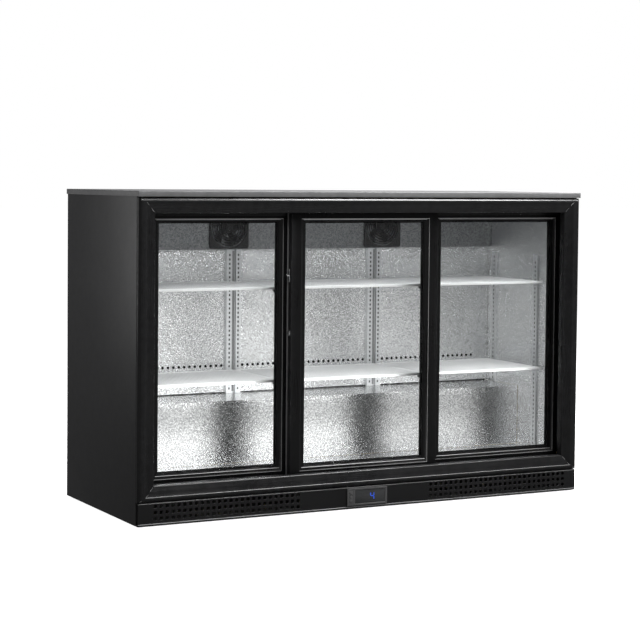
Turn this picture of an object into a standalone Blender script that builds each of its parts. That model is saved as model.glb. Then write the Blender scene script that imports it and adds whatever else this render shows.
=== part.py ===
"""Under counter fridge with three sliding glass doors.

Metres, +Z up, +X to the right, +Y to the back. The origin is on the floor under the middle.
"""

import math

import bmesh
import bpy
from mathutils import Matrix

# Driving dimensions
WIDTH = 1.350
DEPTH = 0.520
HEIGHT = 0.850
GAP = 0.0003  # clearance between pieces that touch
SHEET = 0.0012  # skins and liner

HALF_WIDTH = WIDTH / 2
FRONT = -DEPTH / 2
BACK = DEPTH / 2
BODY_X = 0.672  # outer face of the side panels
TOP_DEEP = 0.014  # the top panel's turned-down edge
SKIN_LOW = 0.004
SKIN_HIGH = 0.846
SKIN_FOLD = 0.012
BACK_PANEL_X = 0.6705
BACK_PANEL_LOW = 0.249
LOUVRES_X = (-0.36, 0.0, 0.36)
LOUVRE_HALF = 0.130
LOUVRE_LOW = 0.045
LOUVRE_PITCH = 0.022
LOUVRE_TALL = 0.009
GLAND = (0.575, 0.2545, 0.060)
FOOT_X = 0.60
FOOT_Y = (-0.195, 0.205)
FOOT_RADIUS = 0.017

# Front surround
SURROUND_TOP = 0.834
SURROUND_LOW = 0.064
SURROUND_DEEP = 0.015
NOSE_RADIUS = 0.008
FACE_ACROSS = 0.012  # flat face of the top and bottom members, then a slope down to the lip
FACE_UPRIGHT = 0.022
LIP_ACROSS = 0.040
LIP_UPRIGHT = 0.047
LIP_BACK = 0.030
WALL = 0.002
JAMB_OUT = 0.0175  # inset of the jamb's outer wall
JAMB_IN = 0.0465
JAMB_FRONT = 0.027
JAMB_BACK = 0.090

# Doors: the front faces' depths behind the surround, and the door outlines
FRONT_TRACK = 0.037
REAR_TRACK = 0.062
DOOR_THICK = 0.022
DOOR_LOW = 0.092
DOOR_TOP = 0.800
WINDOW_LOW = 0.125
WINDOW_TOP = 0.769
SLOPE_SIDE = 0.014  # the slope round the glass: at the sides, below and above
SLOPE_LOW = 0.015
SLOPE_TOP = 0.0085
SLOPE_DEEP = 0.005
GLASS_THICK = 0.014
SIDE_DOOR_IN = 0.2236
SIDE_DOOR_OUT = 0.646
SIDE_STILE = 0.029
GRIP_STILE = 0.055  # the left door's outer stile
MIDDLE_HALF = 0.225
MIDDLE_STILE = 0.043
RAIL_TOP = 0.085  # where the rollers run
ROLLER_RADIUS = 0.007
ROLLER_WIDE = 0.006
ROLLER_SPREAD = 0.150

# Refrigerated compartment
LINER_X = 0.625
LINER_PLAY = 0.0004  # the sheets between the two side liners stop short of them
FOAM_PLAY = 0.0016  # the foam keeps clear of the liner's outer faces
LINER_FRONT = -0.1697
LINER_BACK = 0.2230
FLOOR_TOP = 0.1095
CEILING = 0.809
STEP_FRONT = -0.027
STEP_TOP = 0.280
DUCT_FRONT = 0.140
COVER_FRONT = 0.125
COVER_LOW = 0.684
POST_X = 0.226
POST_FRONT = -0.1675
STRIPS_Y = (-0.115, 0.102)
STRIP_HALF = 0.011
STRIP_PROUD = 0.004
STRIP_TOP = 0.668
RETURN_PITCH = 0.0162  # the round return air holes
RETURN_COUNT = 71
RETURN_RADIUS = 0.0040
RETURN_Z = 0.358
SHELF_FRONT = -0.158
SHELF_BACK = 0.128
SHELF_TOPS = (0.347, 0.595)
SHELF_THICK = 0.006
FANS = (("left", -0.246), ("right", 0.246))
FAN_Z = 0.7465
FAN_SIDE = 0.120
FAN_OPENING = 0.054

# Machine space and plinth
PAN_TOP = 0.014
FOOT_TALL = 0.0125
PLINTH_FRONT = -0.2562
PLINTH_TOP = 0.0625
PLINTH_LOW = 0.003
PLINTH_X = 0.6704
HOLE_PITCH = 0.0162
HOLE_SIDE = 0.0085
HOLE_ROWS = (0.0209, 0.0367, 0.0525)
HOLE_GROUPS = ((-0.622, 26), (0.1905, 28))  # first column and number of columns
THROUGH = 0.010  # how far cutters reach past a face

# Controller
BEZEL_X = (-0.071, 0.051)
BEZEL_Z = (0.012, 0.058)
BEZEL_FRONT = -0.2596
BEZEL_CUTOUT = ((-0.067, 0.0155), (0.047, 0.0545))
DISPLAY_X = (-0.047, 0.045)
DISPLAY_Z = (0.0165, 0.0535)
DISPLAY_BACK = -0.2420
KEY_X = -0.0595
KEYS_Z = (0.0235, 0.0350, 0.0465)
KEY_WIDE = 0.010
KEY_TALL = 0.008
KEY_DEEP = 0.0065

# Colour, metallic, roughness and alpha of each material
MATERIALS = {
    "black_enamel": ((0.028, 0.028, 0.030), 0.2, 0.42, 1.0),
    "grey_enamel": ((0.11, 0.11, 0.115), 0.3, 0.40, 1.0),
    "black_anodised": ((0.012, 0.012, 0.013), 0.6, 0.30, 1.0),
    "stucco_aluminium": ((0.78, 0.79, 0.80), 1.0, 0.34, 1.0),
    "galvanised": ((0.55, 0.57, 0.58), 1.0, 0.46, 1.0),
    "foam": ((0.80, 0.70, 0.42), 0.0, 0.90, 1.0),
    "black_plastic": ((0.020, 0.020, 0.021), 0.0, 0.50, 1.0),
    "grey_plastic": ((0.060, 0.060, 0.062), 0.0, 0.38, 1.0),
    "display_window": ((0.030, 0.032, 0.036), 0.0, 0.12, 1.0),
    "clear_glass": ((0.88, 0.93, 0.92), 0.0, 0.03, 0.25),
    "nylon": ((0.75, 0.74, 0.70), 0.0, 0.45, 1.0),
    "chrome": ((0.80, 0.81, 0.82), 1.0, 0.12, 1.0),
    "white_wire": ((0.86, 0.87, 0.87), 0.3, 0.35, 1.0),
    "white_diffuser": ((0.92, 0.93, 0.95), 0.0, 0.30, 1.0),
    "black_compressor": ((0.015, 0.015, 0.016), 0.3, 0.35, 1.0),
    "fin_aluminium": ((0.70, 0.71, 0.72), 1.0, 0.40, 1.0),
}


def material(name):
    """The named material, made the first time it is asked for."""
    found = bpy.data.materials.get(name)
    if found:
        return found
    colour, metallic, roughness, alpha = MATERIALS[name]
    made = bpy.data.materials.new(name)
    made.use_nodes = True
    shader = made.node_tree.nodes["Principled BSDF"]
    shader.inputs["Base Color"].default_value = (*colour, 1.0)
    shader.inputs["Metallic"].default_value = metallic
    shader.inputs["Roughness"].default_value = roughness
    shader.inputs["Alpha"].default_value = alpha
    return made


def add(name, bm, finish, parent=None, smooth=False):
    """Turns a bmesh into a named object. With a parent, the mesh is in the parent's own frame."""
    bmesh.ops.recalc_face_normals(bm, faces=bm.faces)
    mesh = bpy.data.meshes.new(name)
    bm.to_mesh(mesh)
    bm.free()
    if smooth:
        mesh.shade_smooth()
        mesh.set_sharp_from_angle(angle=math.radians(35))
    mesh.materials.append(material(finish))
    obj = bpy.data.objects.new(name, mesh)
    bpy.context.scene.collection.objects.link(obj)
    obj.parent = parent
    return obj


def pivot(name, place, parent=None):
    """An empty on a joint's axis. Its place is in its parent's frame."""
    empty = bpy.data.objects.new(name, None)
    empty.empty_display_size = 0.05
    empty.location = place
    empty.parent = parent
    bpy.context.scene.collection.objects.link(empty)
    return empty


def prism(bm, near, far):
    """A closed solid between two outlines whose points match."""
    first = [bm.verts.new(point) for point in near]
    last = [bm.verts.new(point) for point in far]
    bm.faces.new(first[::-1])
    bm.faces.new(last)
    count = len(first)
    for i in range(count):
        j = (i + 1) % count
        bm.faces.new((first[i], first[j], last[j], last[i]))


def block(bm, low, high):
    """A box between two corners."""
    (x0, y0, z0), (x1, y1, z1) = low, high
    corners = ((x0, y0), (x1, y0), (x1, y1), (x0, y1))
    prism(bm, [(x, y, z0) for x, y in corners], [(x, y, z1) for x, y in corners])


def rod(bm, centre, radius, length, axis, sides):
    """A cylinder centred on a point, along the X, Y or Z axis."""
    turn = {
        "X": Matrix.Rotation(math.pi / 2, 4, "Y"),
        "Y": Matrix.Rotation(math.pi / 2, 4, "X"),
        "Z": Matrix.Identity(4),
    }[axis]
    bmesh.ops.create_cone(
        bm,
        cap_ends=True,
        segments=sides,
        radius1=radius,
        radius2=radius,
        depth=length,
        matrix=Matrix.Translation(centre) @ turn,
    )


def plate(name, low, high, finish, parent=None):
    bm = bmesh.new()
    block(bm, low, high)
    return add(name, bm, finish, parent)


def combine(obj, operation, bm):
    """Cuts a helper solid out of an object, or joins it on."""
    step = f"{operation.lower()}_{len(obj.modifiers) + 1}"
    helper = add(f"{obj.name}_{step}", bm, obj.active_material.name, obj.parent)
    helper.hide_render = True
    helper.display_type = "WIRE"
    modifier = obj.modifiers.new(step, "BOOLEAN")
    modifier.operation = operation
    modifier.solver = "EXACT"
    modifier.object = helper


def cut(obj, bm):
    combine(obj, "DIFFERENCE", bm)


def join(obj, bm):
    combine(obj, "UNION", bm)


def along_x(bm, outline, half):
    """Extrudes a (y, z) outline from -half to half."""
    prism(bm, [(-half, y, z) for y, z in outline], [(half, y, z) for y, z in outline])


# Cabinet shell


def top_panel():
    """A folded tray, open underneath, with its edges turned down."""
    top = plate(
        "top_panel",
        (-HALF_WIDTH, FRONT, HEIGHT - TOP_DEEP),
        (HALF_WIDTH, BACK, HEIGHT),
        "grey_enamel",
    )
    hollow = bmesh.new()
    edge = 0.0015
    block(
        hollow,
        (-HALF_WIDTH + edge, FRONT + edge, HEIGHT - 2 * TOP_DEEP),
        (HALF_WIDTH - edge, BACK - edge, HEIGHT - edge),
    )
    cut(top, hollow)


def side_panel(name, side):
    """A sheet with its front and back edges folded inwards."""
    front = FRONT + SURROUND_DEEP + GAP
    back = BACK - 0.0015
    outer = BODY_X
    inner = BODY_X - SHEET
    outline = (
        (outer - SKIN_FOLD, front),
        (outer, front),
        (outer, back),
        (outer - SKIN_FOLD, back),
        (outer - SKIN_FOLD, back - SHEET),
        (inner, back - SHEET),
        (inner, front + SHEET),
        (outer - SKIN_FOLD, front + SHEET),
    )
    bm = bmesh.new()
    prism(
        bm,
        [(side * x, y, SKIN_LOW) for x, y in outline],
        [(side * x, y, SKIN_HIGH) for x, y in outline],
    )
    add(name, bm, "black_enamel")


def back_panel():
    plate(
        "back_panel",
        (-BACK_PANEL_X, BACK - SHEET, BACK_PANEL_LOW),
        (BACK_PANEL_X, BACK, HEIGHT - TOP_DEEP - 2 * GAP),
        "galvanised",
    )


def rear_grille():
    """The recessed louvre plate of the machine space, with the cord inlet gland."""
    front, back = 0.2495, 0.2507
    grille = plate("rear_grille", (-0.668, front, 0.016), (0.668, back, 0.2462), "galvanised")
    slots = bmesh.new()
    for centre in LOUVRES_X:
        for row in range(8):
            low = LOUVRE_LOW + row * LOUVRE_PITCH
            block(
                slots,
                (centre - LOUVRE_HALF, front - THROUGH, low),
                (centre + LOUVRE_HALF, back + THROUGH, low + LOUVRE_TALL),
            )
    cut(grille, slots)
    gland = bmesh.new()
    rod(gland, GLAND, 0.009, 0.0096, "Y", 12)
    join(grille, gland)


def base_pan():
    """The floor sheet of the machine space, standing on its four feet."""
    pan = plate("base_pan", (-0.669, -0.238, FOOT_TALL), (0.669, 0.248, PAN_TOP), "galvanised")
    feet = bmesh.new()
    tall = FOOT_TALL + 0.0005
    for x in (-FOOT_X, FOOT_X):
        for y in FOOT_Y:
            rod(feet, (x, y, tall / 2), FOOT_RADIUS, tall, "Z", 14)
    join(pan, feet)


def foam_insulation():
    """The foam between the skins and the liner, hollow for the food and for the machine."""
    foam = plate("foam_insulation", (-0.670, -0.1685, 0.078), (0.670, 0.2568, 0.8475), "foam")
    reach = LINER_X + FOAM_PLAY
    ceiling = CEILING + FOAM_PLAY
    floor = FLOOR_TOP - SHEET - 2 * GAP
    for low, high in (
        ((-reach, -0.200, floor), (reach, STEP_FRONT + FOAM_PLAY, ceiling)),
        ((-reach, -0.060, STEP_TOP - 0.0015), (reach, LINER_BACK + 0.0006, ceiling)),
        ((-BODY_X, 0.006, 0.050), (BODY_X, 0.300, 0.247)),
    ):
        hollow = bmesh.new()
        block(hollow, low, high)
        cut(foam, hollow)


# Front surround and door tracks


def surround_profile(face, lip):
    """(inset, depth) points: a rounded nose, a flat face, a slope inwards and a lip to the back."""
    points = [(0.0, SURROUND_DEEP)]
    for step in range(4):
        angle = math.radians(30 * step)
        points.append(
            (NOSE_RADIUS * (1 - math.cos(angle)), NOSE_RADIUS * (1 - math.sin(angle)))
        )
    inner = 0.0024
    points += [
        (face, 0.0),
        (lip - WALL, 0.008),
        (lip, 0.010),
        (lip, LIP_BACK),
        (lip - WALL, LIP_BACK),
        (lip - WALL, 0.0112),
        (face - 0.0005, inner),
        (NOSE_RADIUS + 0.0005, inner),
        (inner, NOSE_RADIUS + 0.0005),
        (inner, SURROUND_DEEP),
    ]
    return points


def surround_end(side, height, inwards, gap):
    """The mitred end that an upright member and a top or bottom member share."""
    upright = surround_profile(FACE_UPRIGHT, LIP_UPRIGHT)
    across = surround_profile(FACE_ACROSS, LIP_ACROSS)
    return [
        (side * (BODY_X - u - gap), FRONT + depth, height + inwards * v)
        for (u, depth), (v, _) in zip(upright, across)
    ]


def surround_bar(name, height, inwards):
    """The top or bottom member, mitred at its ends."""
    bm = bmesh.new()
    prism(bm, *(surround_end(side, height, inwards, GAP) for side in (-1, 1)))
    add(name, bm, "black_anodised")


def surround_side(name, side):
    """An upright member, mitred at its ends, with the door jamb channel behind its lip."""
    bm = bmesh.new()
    ends = ((SURROUND_LOW + GAP, 1), (SURROUND_TOP - GAP, -1))
    prism(bm, *(surround_end(side, height, inwards, 0.0) for height, inwards in ends))
    bar = add(name, bm, "black_anodised")

    outline = (
        (LIP_UPRIGHT - 0.001, JAMB_FRONT),
        (LIP_UPRIGHT - 0.001, JAMB_FRONT + WALL),
        (JAMB_OUT + WALL, JAMB_FRONT + WALL),
        (JAMB_OUT + WALL, JAMB_BACK - WALL),
        (JAMB_IN, JAMB_BACK - WALL),
        (JAMB_IN, JAMB_BACK),
        (JAMB_OUT, JAMB_BACK),
        (JAMB_OUT, JAMB_FRONT),
    )
    low = SURROUND_LOW + LIP_ACROSS + 2 * GAP
    high = SURROUND_TOP - LIP_ACROSS - 2 * GAP
    jamb = bmesh.new()
    prism(
        jamb,
        [(side * (BODY_X - inset), FRONT + depth, low) for inset, depth in outline],
        [(side * (BODY_X - inset), FRONT + depth, high) for inset, depth in outline],
    )
    join(bar, jamb)


def track(name, outline):
    """A track extrusion from (depth, height) points, between the two jambs."""
    bm = bmesh.new()
    along_x(bm, [(FRONT + depth, z) for depth, z in outline], BODY_X - JAMB_OUT - WALL - GAP)
    add(name, bm, "black_anodised")


def tracks():
    """The two channels the doors run in, each with a rib between its two rows."""
    front, back = 0.031, 0.0875
    rib, rib_wide = 0.0599, 0.0012
    roof, under_roof = 0.8300, 0.8280
    front_low, back_low, rib_low = 0.7945, 0.7880, 0.7860
    track(
        "top_track",
        (
            (front, front_low),
            (front, roof),
            (back, roof),
            (back, back_low),
            (back - WALL, back_low),
            (back - WALL, under_roof),
            (rib + rib_wide, under_roof),
            (rib + rib_wide, rib_low),
            (rib, rib_low),
            (rib, under_roof),
            (front + WALL, under_roof),
            (front + WALL, front_low),
        ),
    )
    under, floor_top = 0.080, 0.083
    front_high, back_high, rib_high = 0.1035, 0.1085, 0.1000
    half_rail = 0.0015
    outline = [(front, front_high), (front, under), (back, under), (back, back_high)]
    outline += [(back - WALL, back_high), (back - WALL, floor_top)]
    for depth in (REAR_TRACK, FRONT_TRACK):
        rail = depth + DOOR_THICK / 2
        outline += [
            (rail + half_rail, floor_top),
            (rail + half_rail, RAIL_TOP),
            (rail - half_rail, RAIL_TOP),
            (rail - half_rail, floor_top),
        ]
        if depth == REAR_TRACK:
            outline += [
                (rib + rib_wide, floor_top),
                (rib + rib_wide, rib_high),
                (rib, rib_high),
                (rib, floor_top),
            ]
    outline += [(front + WALL, floor_top), (front + WALL, front_high)]
    track("bottom_track", outline)


# Doors


def ring(bm, loops):
    """A closed frame through rectangular loops: each is low x, high x, low z, high z and depth."""
    rows = []
    for left, right, low, high, depth in loops:
        corners = ((left, low), (right, low), (right, high), (left, high))
        rows.append([bm.verts.new((x, depth, z)) for x, z in corners])
    for i, row in enumerate(rows):
        after = rows[(i + 1) % len(rows)]
        for j in range(4):
            k = (j + 1) % 4
            bm.faces.new((row[j], row[k], after[k], after[j]))


def door(place, low_x, high_x, stiles, depth):
    """A framed glass door on two bottom rollers. Its empty is on the slide's line."""
    centre = (low_x + high_x) / 2
    half = (high_x - low_x) / 2
    slide = pivot(f"door_{place}", (centre, FRONT + depth, 0.0))

    left, right = -half + stiles[0], half - stiles[1]
    low, high = WINDOW_LOW - SLOPE_LOW, WINDOW_TOP + SLOPE_TOP
    bm = bmesh.new()
    ring(
        bm,
        (
            (-half, half, DOOR_LOW, DOOR_TOP, 0.0),
            (left - SLOPE_SIDE, right + SLOPE_SIDE, low, high, 0.0),
            (left, right, WINDOW_LOW, WINDOW_TOP, SLOPE_DEEP),
            (left, right, WINDOW_LOW, WINDOW_TOP, DOOR_THICK),
            (-half, half, DOOR_LOW, DOOR_TOP, DOOR_THICK),
        ),
    )
    frame = add(f"door_frame_{place}", bm, "black_anodised", slide)
    pockets = bmesh.new()
    pocket_long, pocket_wide = 0.019, 0.009
    middle = DOOR_THICK / 2
    for side in (-1, 1):
        x = side * ROLLER_SPREAD
        block(
            pockets,
            (x - pocket_long / 2, middle - pocket_wide / 2, DOOR_LOW - THROUGH),
            (x + pocket_long / 2, middle + pocket_wide / 2, DOOR_LOW + 0.0095),
        )
    cut(frame, pockets)

    plate(
        f"door_glass_{place}",
        (left + GAP, SLOPE_DEEP + 0.001, WINDOW_LOW + GAP),
        (right - GAP, SLOPE_DEEP + 0.001 + GLASS_THICK, WINDOW_TOP - GAP),
        "clear_glass",
        slide,
    )
    for side, label in ((-1, "a"), (1, "b")):
        axle = pivot(
            f"roller_axle_{place}_{label}",
            (side * ROLLER_SPREAD, middle, RAIL_TOP + GAP + ROLLER_RADIUS),
            slide,
        )
        wheel = bmesh.new()
        rod(wheel, (0, 0, 0), ROLLER_RADIUS, ROLLER_WIDE, "Y", 16)
        add(f"roller_{place}_{label}", wheel, "nylon", axle, smooth=True)
    return slide


def lock(slide):
    """The key barrel and the sliding catch on the middle door's left edge."""
    face = -MIDDLE_HALF - GAP
    middle = DOOR_THICK / 2
    barrel_axis = pivot("lock_axis", (face, middle, 0.476), slide)
    barrel = bmesh.new()
    rod(barrel, (-0.0016, 0, 0), 0.0075, 0.0032, "X", 20)
    lock_barrel = add("lock_barrel", barrel, "chrome", barrel_axis, smooth=True)
    keyway = bmesh.new()
    block(keyway, (-0.010, -0.0007, -0.0035), (-0.0012, 0.0007, 0.0035))
    cut(lock_barrel, keyway)

    catch_axis = pivot("catch_axis", (face, middle, 0.628), slide)
    catch = plate(
        "lock_catch",
        (-0.0022, -0.0030, -0.0180),
        (0.0, 0.0030, 0.0180),
        "chrome",
        catch_axis,
    )
    knob = bmesh.new()
    block(knob, (-0.0023, -0.0055, -0.0030), (-0.0003, 0.0055, 0.0030))
    join(catch, knob)
    stud = bmesh.new()
    rod(stud, (-0.0055, 0, 0), 0.0036, 0.0080, "X", 12)
    join(catch, stud)


def doors():
    door("left", -SIDE_DOOR_OUT, -SIDE_DOOR_IN, (GRIP_STILE, SIDE_STILE), REAR_TRACK)
    door("right", SIDE_DOOR_IN, SIDE_DOOR_OUT, (SIDE_STILE, SIDE_STILE), REAR_TRACK)
    lock(door("middle", -MIDDLE_HALF, MIDDLE_HALF, (MIDDLE_STILE, MIDDLE_STILE), FRONT_TRACK))


# Refrigerated compartment


def shelf_rest(bm, low, high, below):
    """A small bracket under a shelf, between two (x, y) corners."""
    top = below - SHELF_THICK - GAP
    block(bm, (*low, top - 0.003), (*high, top))


def side_liner(name, side):
    """A side wall of the liner, stepped over the machine space, with two shelf strips on it."""
    outline = (
        (LINER_FRONT, FLOOR_TOP - SHEET),
        (STEP_FRONT, FLOOR_TOP - SHEET),
        (STEP_FRONT, STEP_TOP),
        (LINER_BACK, STEP_TOP),
        (LINER_BACK, CEILING + SHEET),
        (LINER_FRONT, CEILING + SHEET),
    )
    bm = bmesh.new()
    prism(
        bm,
        [(side * LINER_X, y, z) for y, z in outline],
        [(side * (LINER_X + SHEET), y, z) for y, z in outline],
    )
    wall = add(name, bm, "stucco_aluminium")
    strips = bmesh.new()
    proud = LINER_X - STRIP_PROUD
    for middle, low in zip(STRIPS_Y, (FLOOR_TOP + 0.001, STEP_TOP + 0.001)):
        edges = sorted((side * proud, side * (LINER_X + SHEET / 2)))
        block(
            strips,
            (edges[0], middle - STRIP_HALF, low),
            (edges[1], middle + STRIP_HALF, STRIP_TOP),
        )
    join(wall, strips)
    rests = bmesh.new()
    for middle in STRIPS_Y:
        for height in SHELF_TOPS:
            edges = sorted((side * (proud - 0.014), side * (proud + 0.002)))
            shelf_rest(rests, (edges[0], middle - 0.006), (edges[1], middle + 0.006), height)
    join(wall, rests)


def liner():
    across = LINER_X - LINER_PLAY
    side_liner("liner_left", -1)
    side_liner("liner_right", 1)
    plate(
        "liner_back",
        (-across, LINER_BACK - SHEET, STEP_TOP + GAP),
        (across, LINER_BACK, CEILING - GAP),
        "stucco_aluminium",
    )
    plate(
        "liner_ceiling",
        (-across, LINER_FRONT, CEILING),
        (across, LINER_BACK, CEILING + SHEET),
        "stucco_aluminium",
    )
    plate(
        "liner_floor",
        (-across, LINER_FRONT, FLOOR_TOP - SHEET),
        (across, STEP_FRONT - GAP, FLOOR_TOP),
        "stucco_aluminium",
    )


def compressor_step():
    """The folded step over the machine space: a riser and a top."""
    outline = (
        (STEP_FRONT, FLOOR_TOP + GAP),
        (STEP_FRONT, STEP_TOP),
        (LINER_BACK, STEP_TOP),
        (LINER_BACK, STEP_TOP - SHEET),
        (STEP_FRONT + SHEET, STEP_TOP - SHEET),
        (STEP_FRONT + SHEET, FLOOR_TOP + GAP),
    )
    bm = bmesh.new()
    along_x(bm, outline, LINER_X - LINER_PLAY)
    add("compressor_step", bm, "stucco_aluminium")


def duct_panel():
    """The false back wall, with the row of round return air holes above the lower shelf."""
    across = LINER_X - LINER_PLAY - GAP
    panel = plate(
        "duct_panel",
        (-across, DUCT_FRONT, STEP_TOP + 2 * GAP),
        (across, DUCT_FRONT + SHEET, COVER_LOW - GAP),
        "stucco_aluminium",
    )
    holes = bmesh.new()
    beside_post = 0.028
    for i in range(RETURN_COUNT):
        x = (i - (RETURN_COUNT - 1) / 2) * RETURN_PITCH
        if abs(abs(x) - POST_X) > beside_post:
            rod(holes, (x, DUCT_FRONT, RETURN_Z), RETURN_RADIUS, 2 * THROUGH, "Y", 6)
    cut(panel, holes)


def evaporator_cover():
    """The housing over the evaporator, with a round opening for each fan."""
    outline = (
        (COVER_FRONT, COVER_LOW),
        (COVER_FRONT, CEILING - GAP),
        (COVER_FRONT + SHEET, CEILING - GAP),
        (COVER_FRONT + SHEET, COVER_LOW + SHEET),
        (DUCT_FRONT + SHEET, COVER_LOW + SHEET),
        (DUCT_FRONT + SHEET, COVER_LOW),
    )
    bm = bmesh.new()
    along_x(bm, outline, LINER_X - LINER_PLAY - GAP)
    cover = add("evaporator_cover", bm, "stucco_aluminium")
    openings = bmesh.new()
    for _, x in FANS:
        rod(openings, (x, COVER_FRONT, FAN_Z), FAN_OPENING, 2 * THROUGH, "Y", 24)
    cut(cover, openings)


def sector(bm, centre, inner, outer, start, stop, near, far):
    """A ring sector in the XZ plane, between two Y values."""
    steps = 4
    outline = []
    for radius, first, last in ((inner, start, stop), (outer, stop, start)):
        for i in range(steps + 1):
            angle = first + (last - first) * i / steps
            outline.append(
                (centre[0] + radius * math.cos(angle), centre[1] + radius * math.sin(angle))
            )
    prism(bm, [(x, near, z) for x, z in outline], [(x, far, z) for x, z in outline])


def fan_guard(name, x):
    """A square guard with concentric rings held by four spokes."""
    back = COVER_FRONT - GAP
    front = back - 0.006
    half = FAN_SIDE / 2
    guard = plate(
        name, (x - half, front, FAN_Z - half), (x + half, back, FAN_Z + half), "black_plastic"
    )
    gaps = bmesh.new()
    spoke = 0.0025
    for inner, outer in ((0.010, 0.022), (0.025, 0.037), (0.040, FAN_OPENING)):
        for quarter in range(4):
            start = math.pi / 4 + quarter * math.pi / 2
            narrow = spoke / inner * 0.8
            sector(
                gaps,
                (x, FAN_Z),
                inner,
                outer,
                start + narrow,
                start + math.pi / 2 - narrow,
                front - THROUGH,
                back + THROUGH,
            )
    cut(guard, gaps)


def rotor(name, centre, hub, reach, deep, blades, finish):
    """An axial fan: a hub with pitched blades, turning about the Y axis."""
    axis = pivot(f"{name}_axis", centre)
    bm = bmesh.new()
    rod(bm, (0, 0, 0), hub, deep, "Y", 16)
    fan = add(name, bm, finish, axis, smooth=True)
    vanes = bmesh.new()
    chord = reach * 0.5
    for i in range(blades):
        vane = bmesh.new()
        block(vane, (hub * 0.6, -0.0008, -chord / 2), (reach, 0.0008, chord / 2))
        pitched = Matrix.Rotation(math.radians(28), 4, "X")
        placed = Matrix.Rotation(2 * math.pi * i / blades, 4, "Y") @ pitched
        bmesh.ops.transform(vane, matrix=placed, verts=vane.verts)
        loose = bpy.data.meshes.new(f"{name}_vane")
        vane.to_mesh(loose)
        vane.free()
        vanes.from_mesh(loose)
        bpy.data.meshes.remove(loose)
    join(fan, vanes)


def finned_coil(name, low, high, fins):
    """A heat exchanger block with its fins cut as deep grooves across the front and back."""
    coil = plate(name, low, high, "fin_aluminium")
    grooves = bmesh.new()
    pitch = (high[0] - low[0]) / fins
    depth = (high[1] - low[1]) * 0.38
    for i in range(1, fins):
        x = low[0] + i * pitch
        for near, far in ((low[1] - THROUGH, low[1] + depth), (high[1] - depth, high[1] + THROUGH)):
            block(
                grooves,
                (x - pitch * 0.3, near, low[2] - THROUGH),
                (x + pitch * 0.3, far, high[2] + THROUGH),
            )
    cut(coil, grooves)


def back_pilaster(name, x):
    """A slotted shelf upright on the duct panel, with a bracket at each shelf."""
    wide, deep = 0.045, 0.0092
    back = DUCT_FRONT - GAP
    front = back - deep
    low, high = STEP_TOP + GAP, COVER_LOW - GAP
    outline = (
        (-wide / 2, back),
        (-wide / 2, front),
        (wide / 2, front),
        (wide / 2, back),
        (wide / 2 - SHEET, back),
        (wide / 2 - SHEET, front + SHEET),
        (-wide / 2 + SHEET, front + SHEET),
        (-wide / 2 + SHEET, back),
    )
    bm = bmesh.new()
    prism(bm, [(x + u, y, low) for u, y in outline], [(x + u, y, high) for u, y in outline])
    upright = add(name, bm, "stucco_aluminium")
    slots = bmesh.new()
    pitch, column, half_slot, tall = 0.026, 0.0125, 0.002, 0.007
    for row in range(15):
        z = low + 0.020 + row * pitch
        for side in (-1, 1):
            middle = x + side * column
            block(
                slots,
                (middle - half_slot, front - THROUGH, z),
                (middle + half_slot, front + 0.004, z + tall),
            )
    cut(upright, slots)
    rests = bmesh.new()
    for height in SHELF_TOPS:
        shelf_rest(rests, (x - 0.016, front - 0.018), (x + 0.016, front + 0.0008), height)
    join(upright, rests)


def front_post(name, x):
    """A shelf post behind the doors, from floor to ceiling, with a bracket at each shelf."""
    wide, deep = 0.022, 0.0075
    back = POST_FRONT + deep
    post = plate(
        name,
        (x - wide / 2, POST_FRONT, FLOOR_TOP + GAP),
        (x + wide / 2, back, CEILING - GAP),
        "black_plastic",
    )
    rests = bmesh.new()
    rest_half, rest_deep = 0.013, 0.022
    for height in SHELF_TOPS:
        shelf_rest(rests, (x - rest_half, back - 0.001), (x + rest_half, back + rest_deep), height)
    join(post, rests)


def shelf(name, low_x, high_x, top):
    """A shelf of bars running front to back inside a border."""
    under = top - SHELF_THICK
    board = plate(name, (low_x, SHELF_FRONT, under), (high_x, SHELF_BACK, top), "white_wire")
    slots = bmesh.new()
    border = 0.008
    count = 12
    pitch = (high_x - low_x - 2 * border) / count
    bar = 0.005
    for i in range(count):
        start = low_x + border + i * pitch
        block(
            slots,
            (start + bar / 2, SHELF_FRONT + border, under - THROUGH),
            (start + pitch - bar / 2, SHELF_BACK - border, top + THROUGH),
        )
    cut(board, slots)


def shelving():
    between = 0.0025  # half of the gap between two shelves
    outer = LINER_X - 0.005
    bays = (
        ("left", -outer, -POST_X - between),
        ("middle", -POST_X + between, POST_X - between),
        ("right", POST_X + between, outer),
    )
    for level, top in zip(("lower", "upper"), SHELF_TOPS):
        for bay, low_x, high_x in bays:
            shelf(f"shelf_{level}_{bay}", low_x, high_x, top)
    for side, label in ((-1, "left"), (1, "right")):
        back_pilaster(f"back_pilaster_{label}", side * POST_X)
        front_post(f"front_post_{label}", side * POST_X)


def cold_air():
    evaporator_cover()
    for label, x in FANS:
        fan_guard(f"fan_guard_{label}", x)
        rotor(
            f"fan_rotor_{label}",
            (x, 0.1375, FAN_Z),
            hub=0.018,
            reach=0.050,
            deep=0.016,
            blades=5,
            finish="black_plastic",
        )
    finned_coil("evaporator_coil", (-0.45, 0.155, 0.560), (0.45, 0.205, 0.790), 16)
    plate("led_strip", (-0.600, -0.158, 0.7985), (0.600, -0.142, CEILING - GAP), "white_diffuser")


# Machine space and plinth


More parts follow.
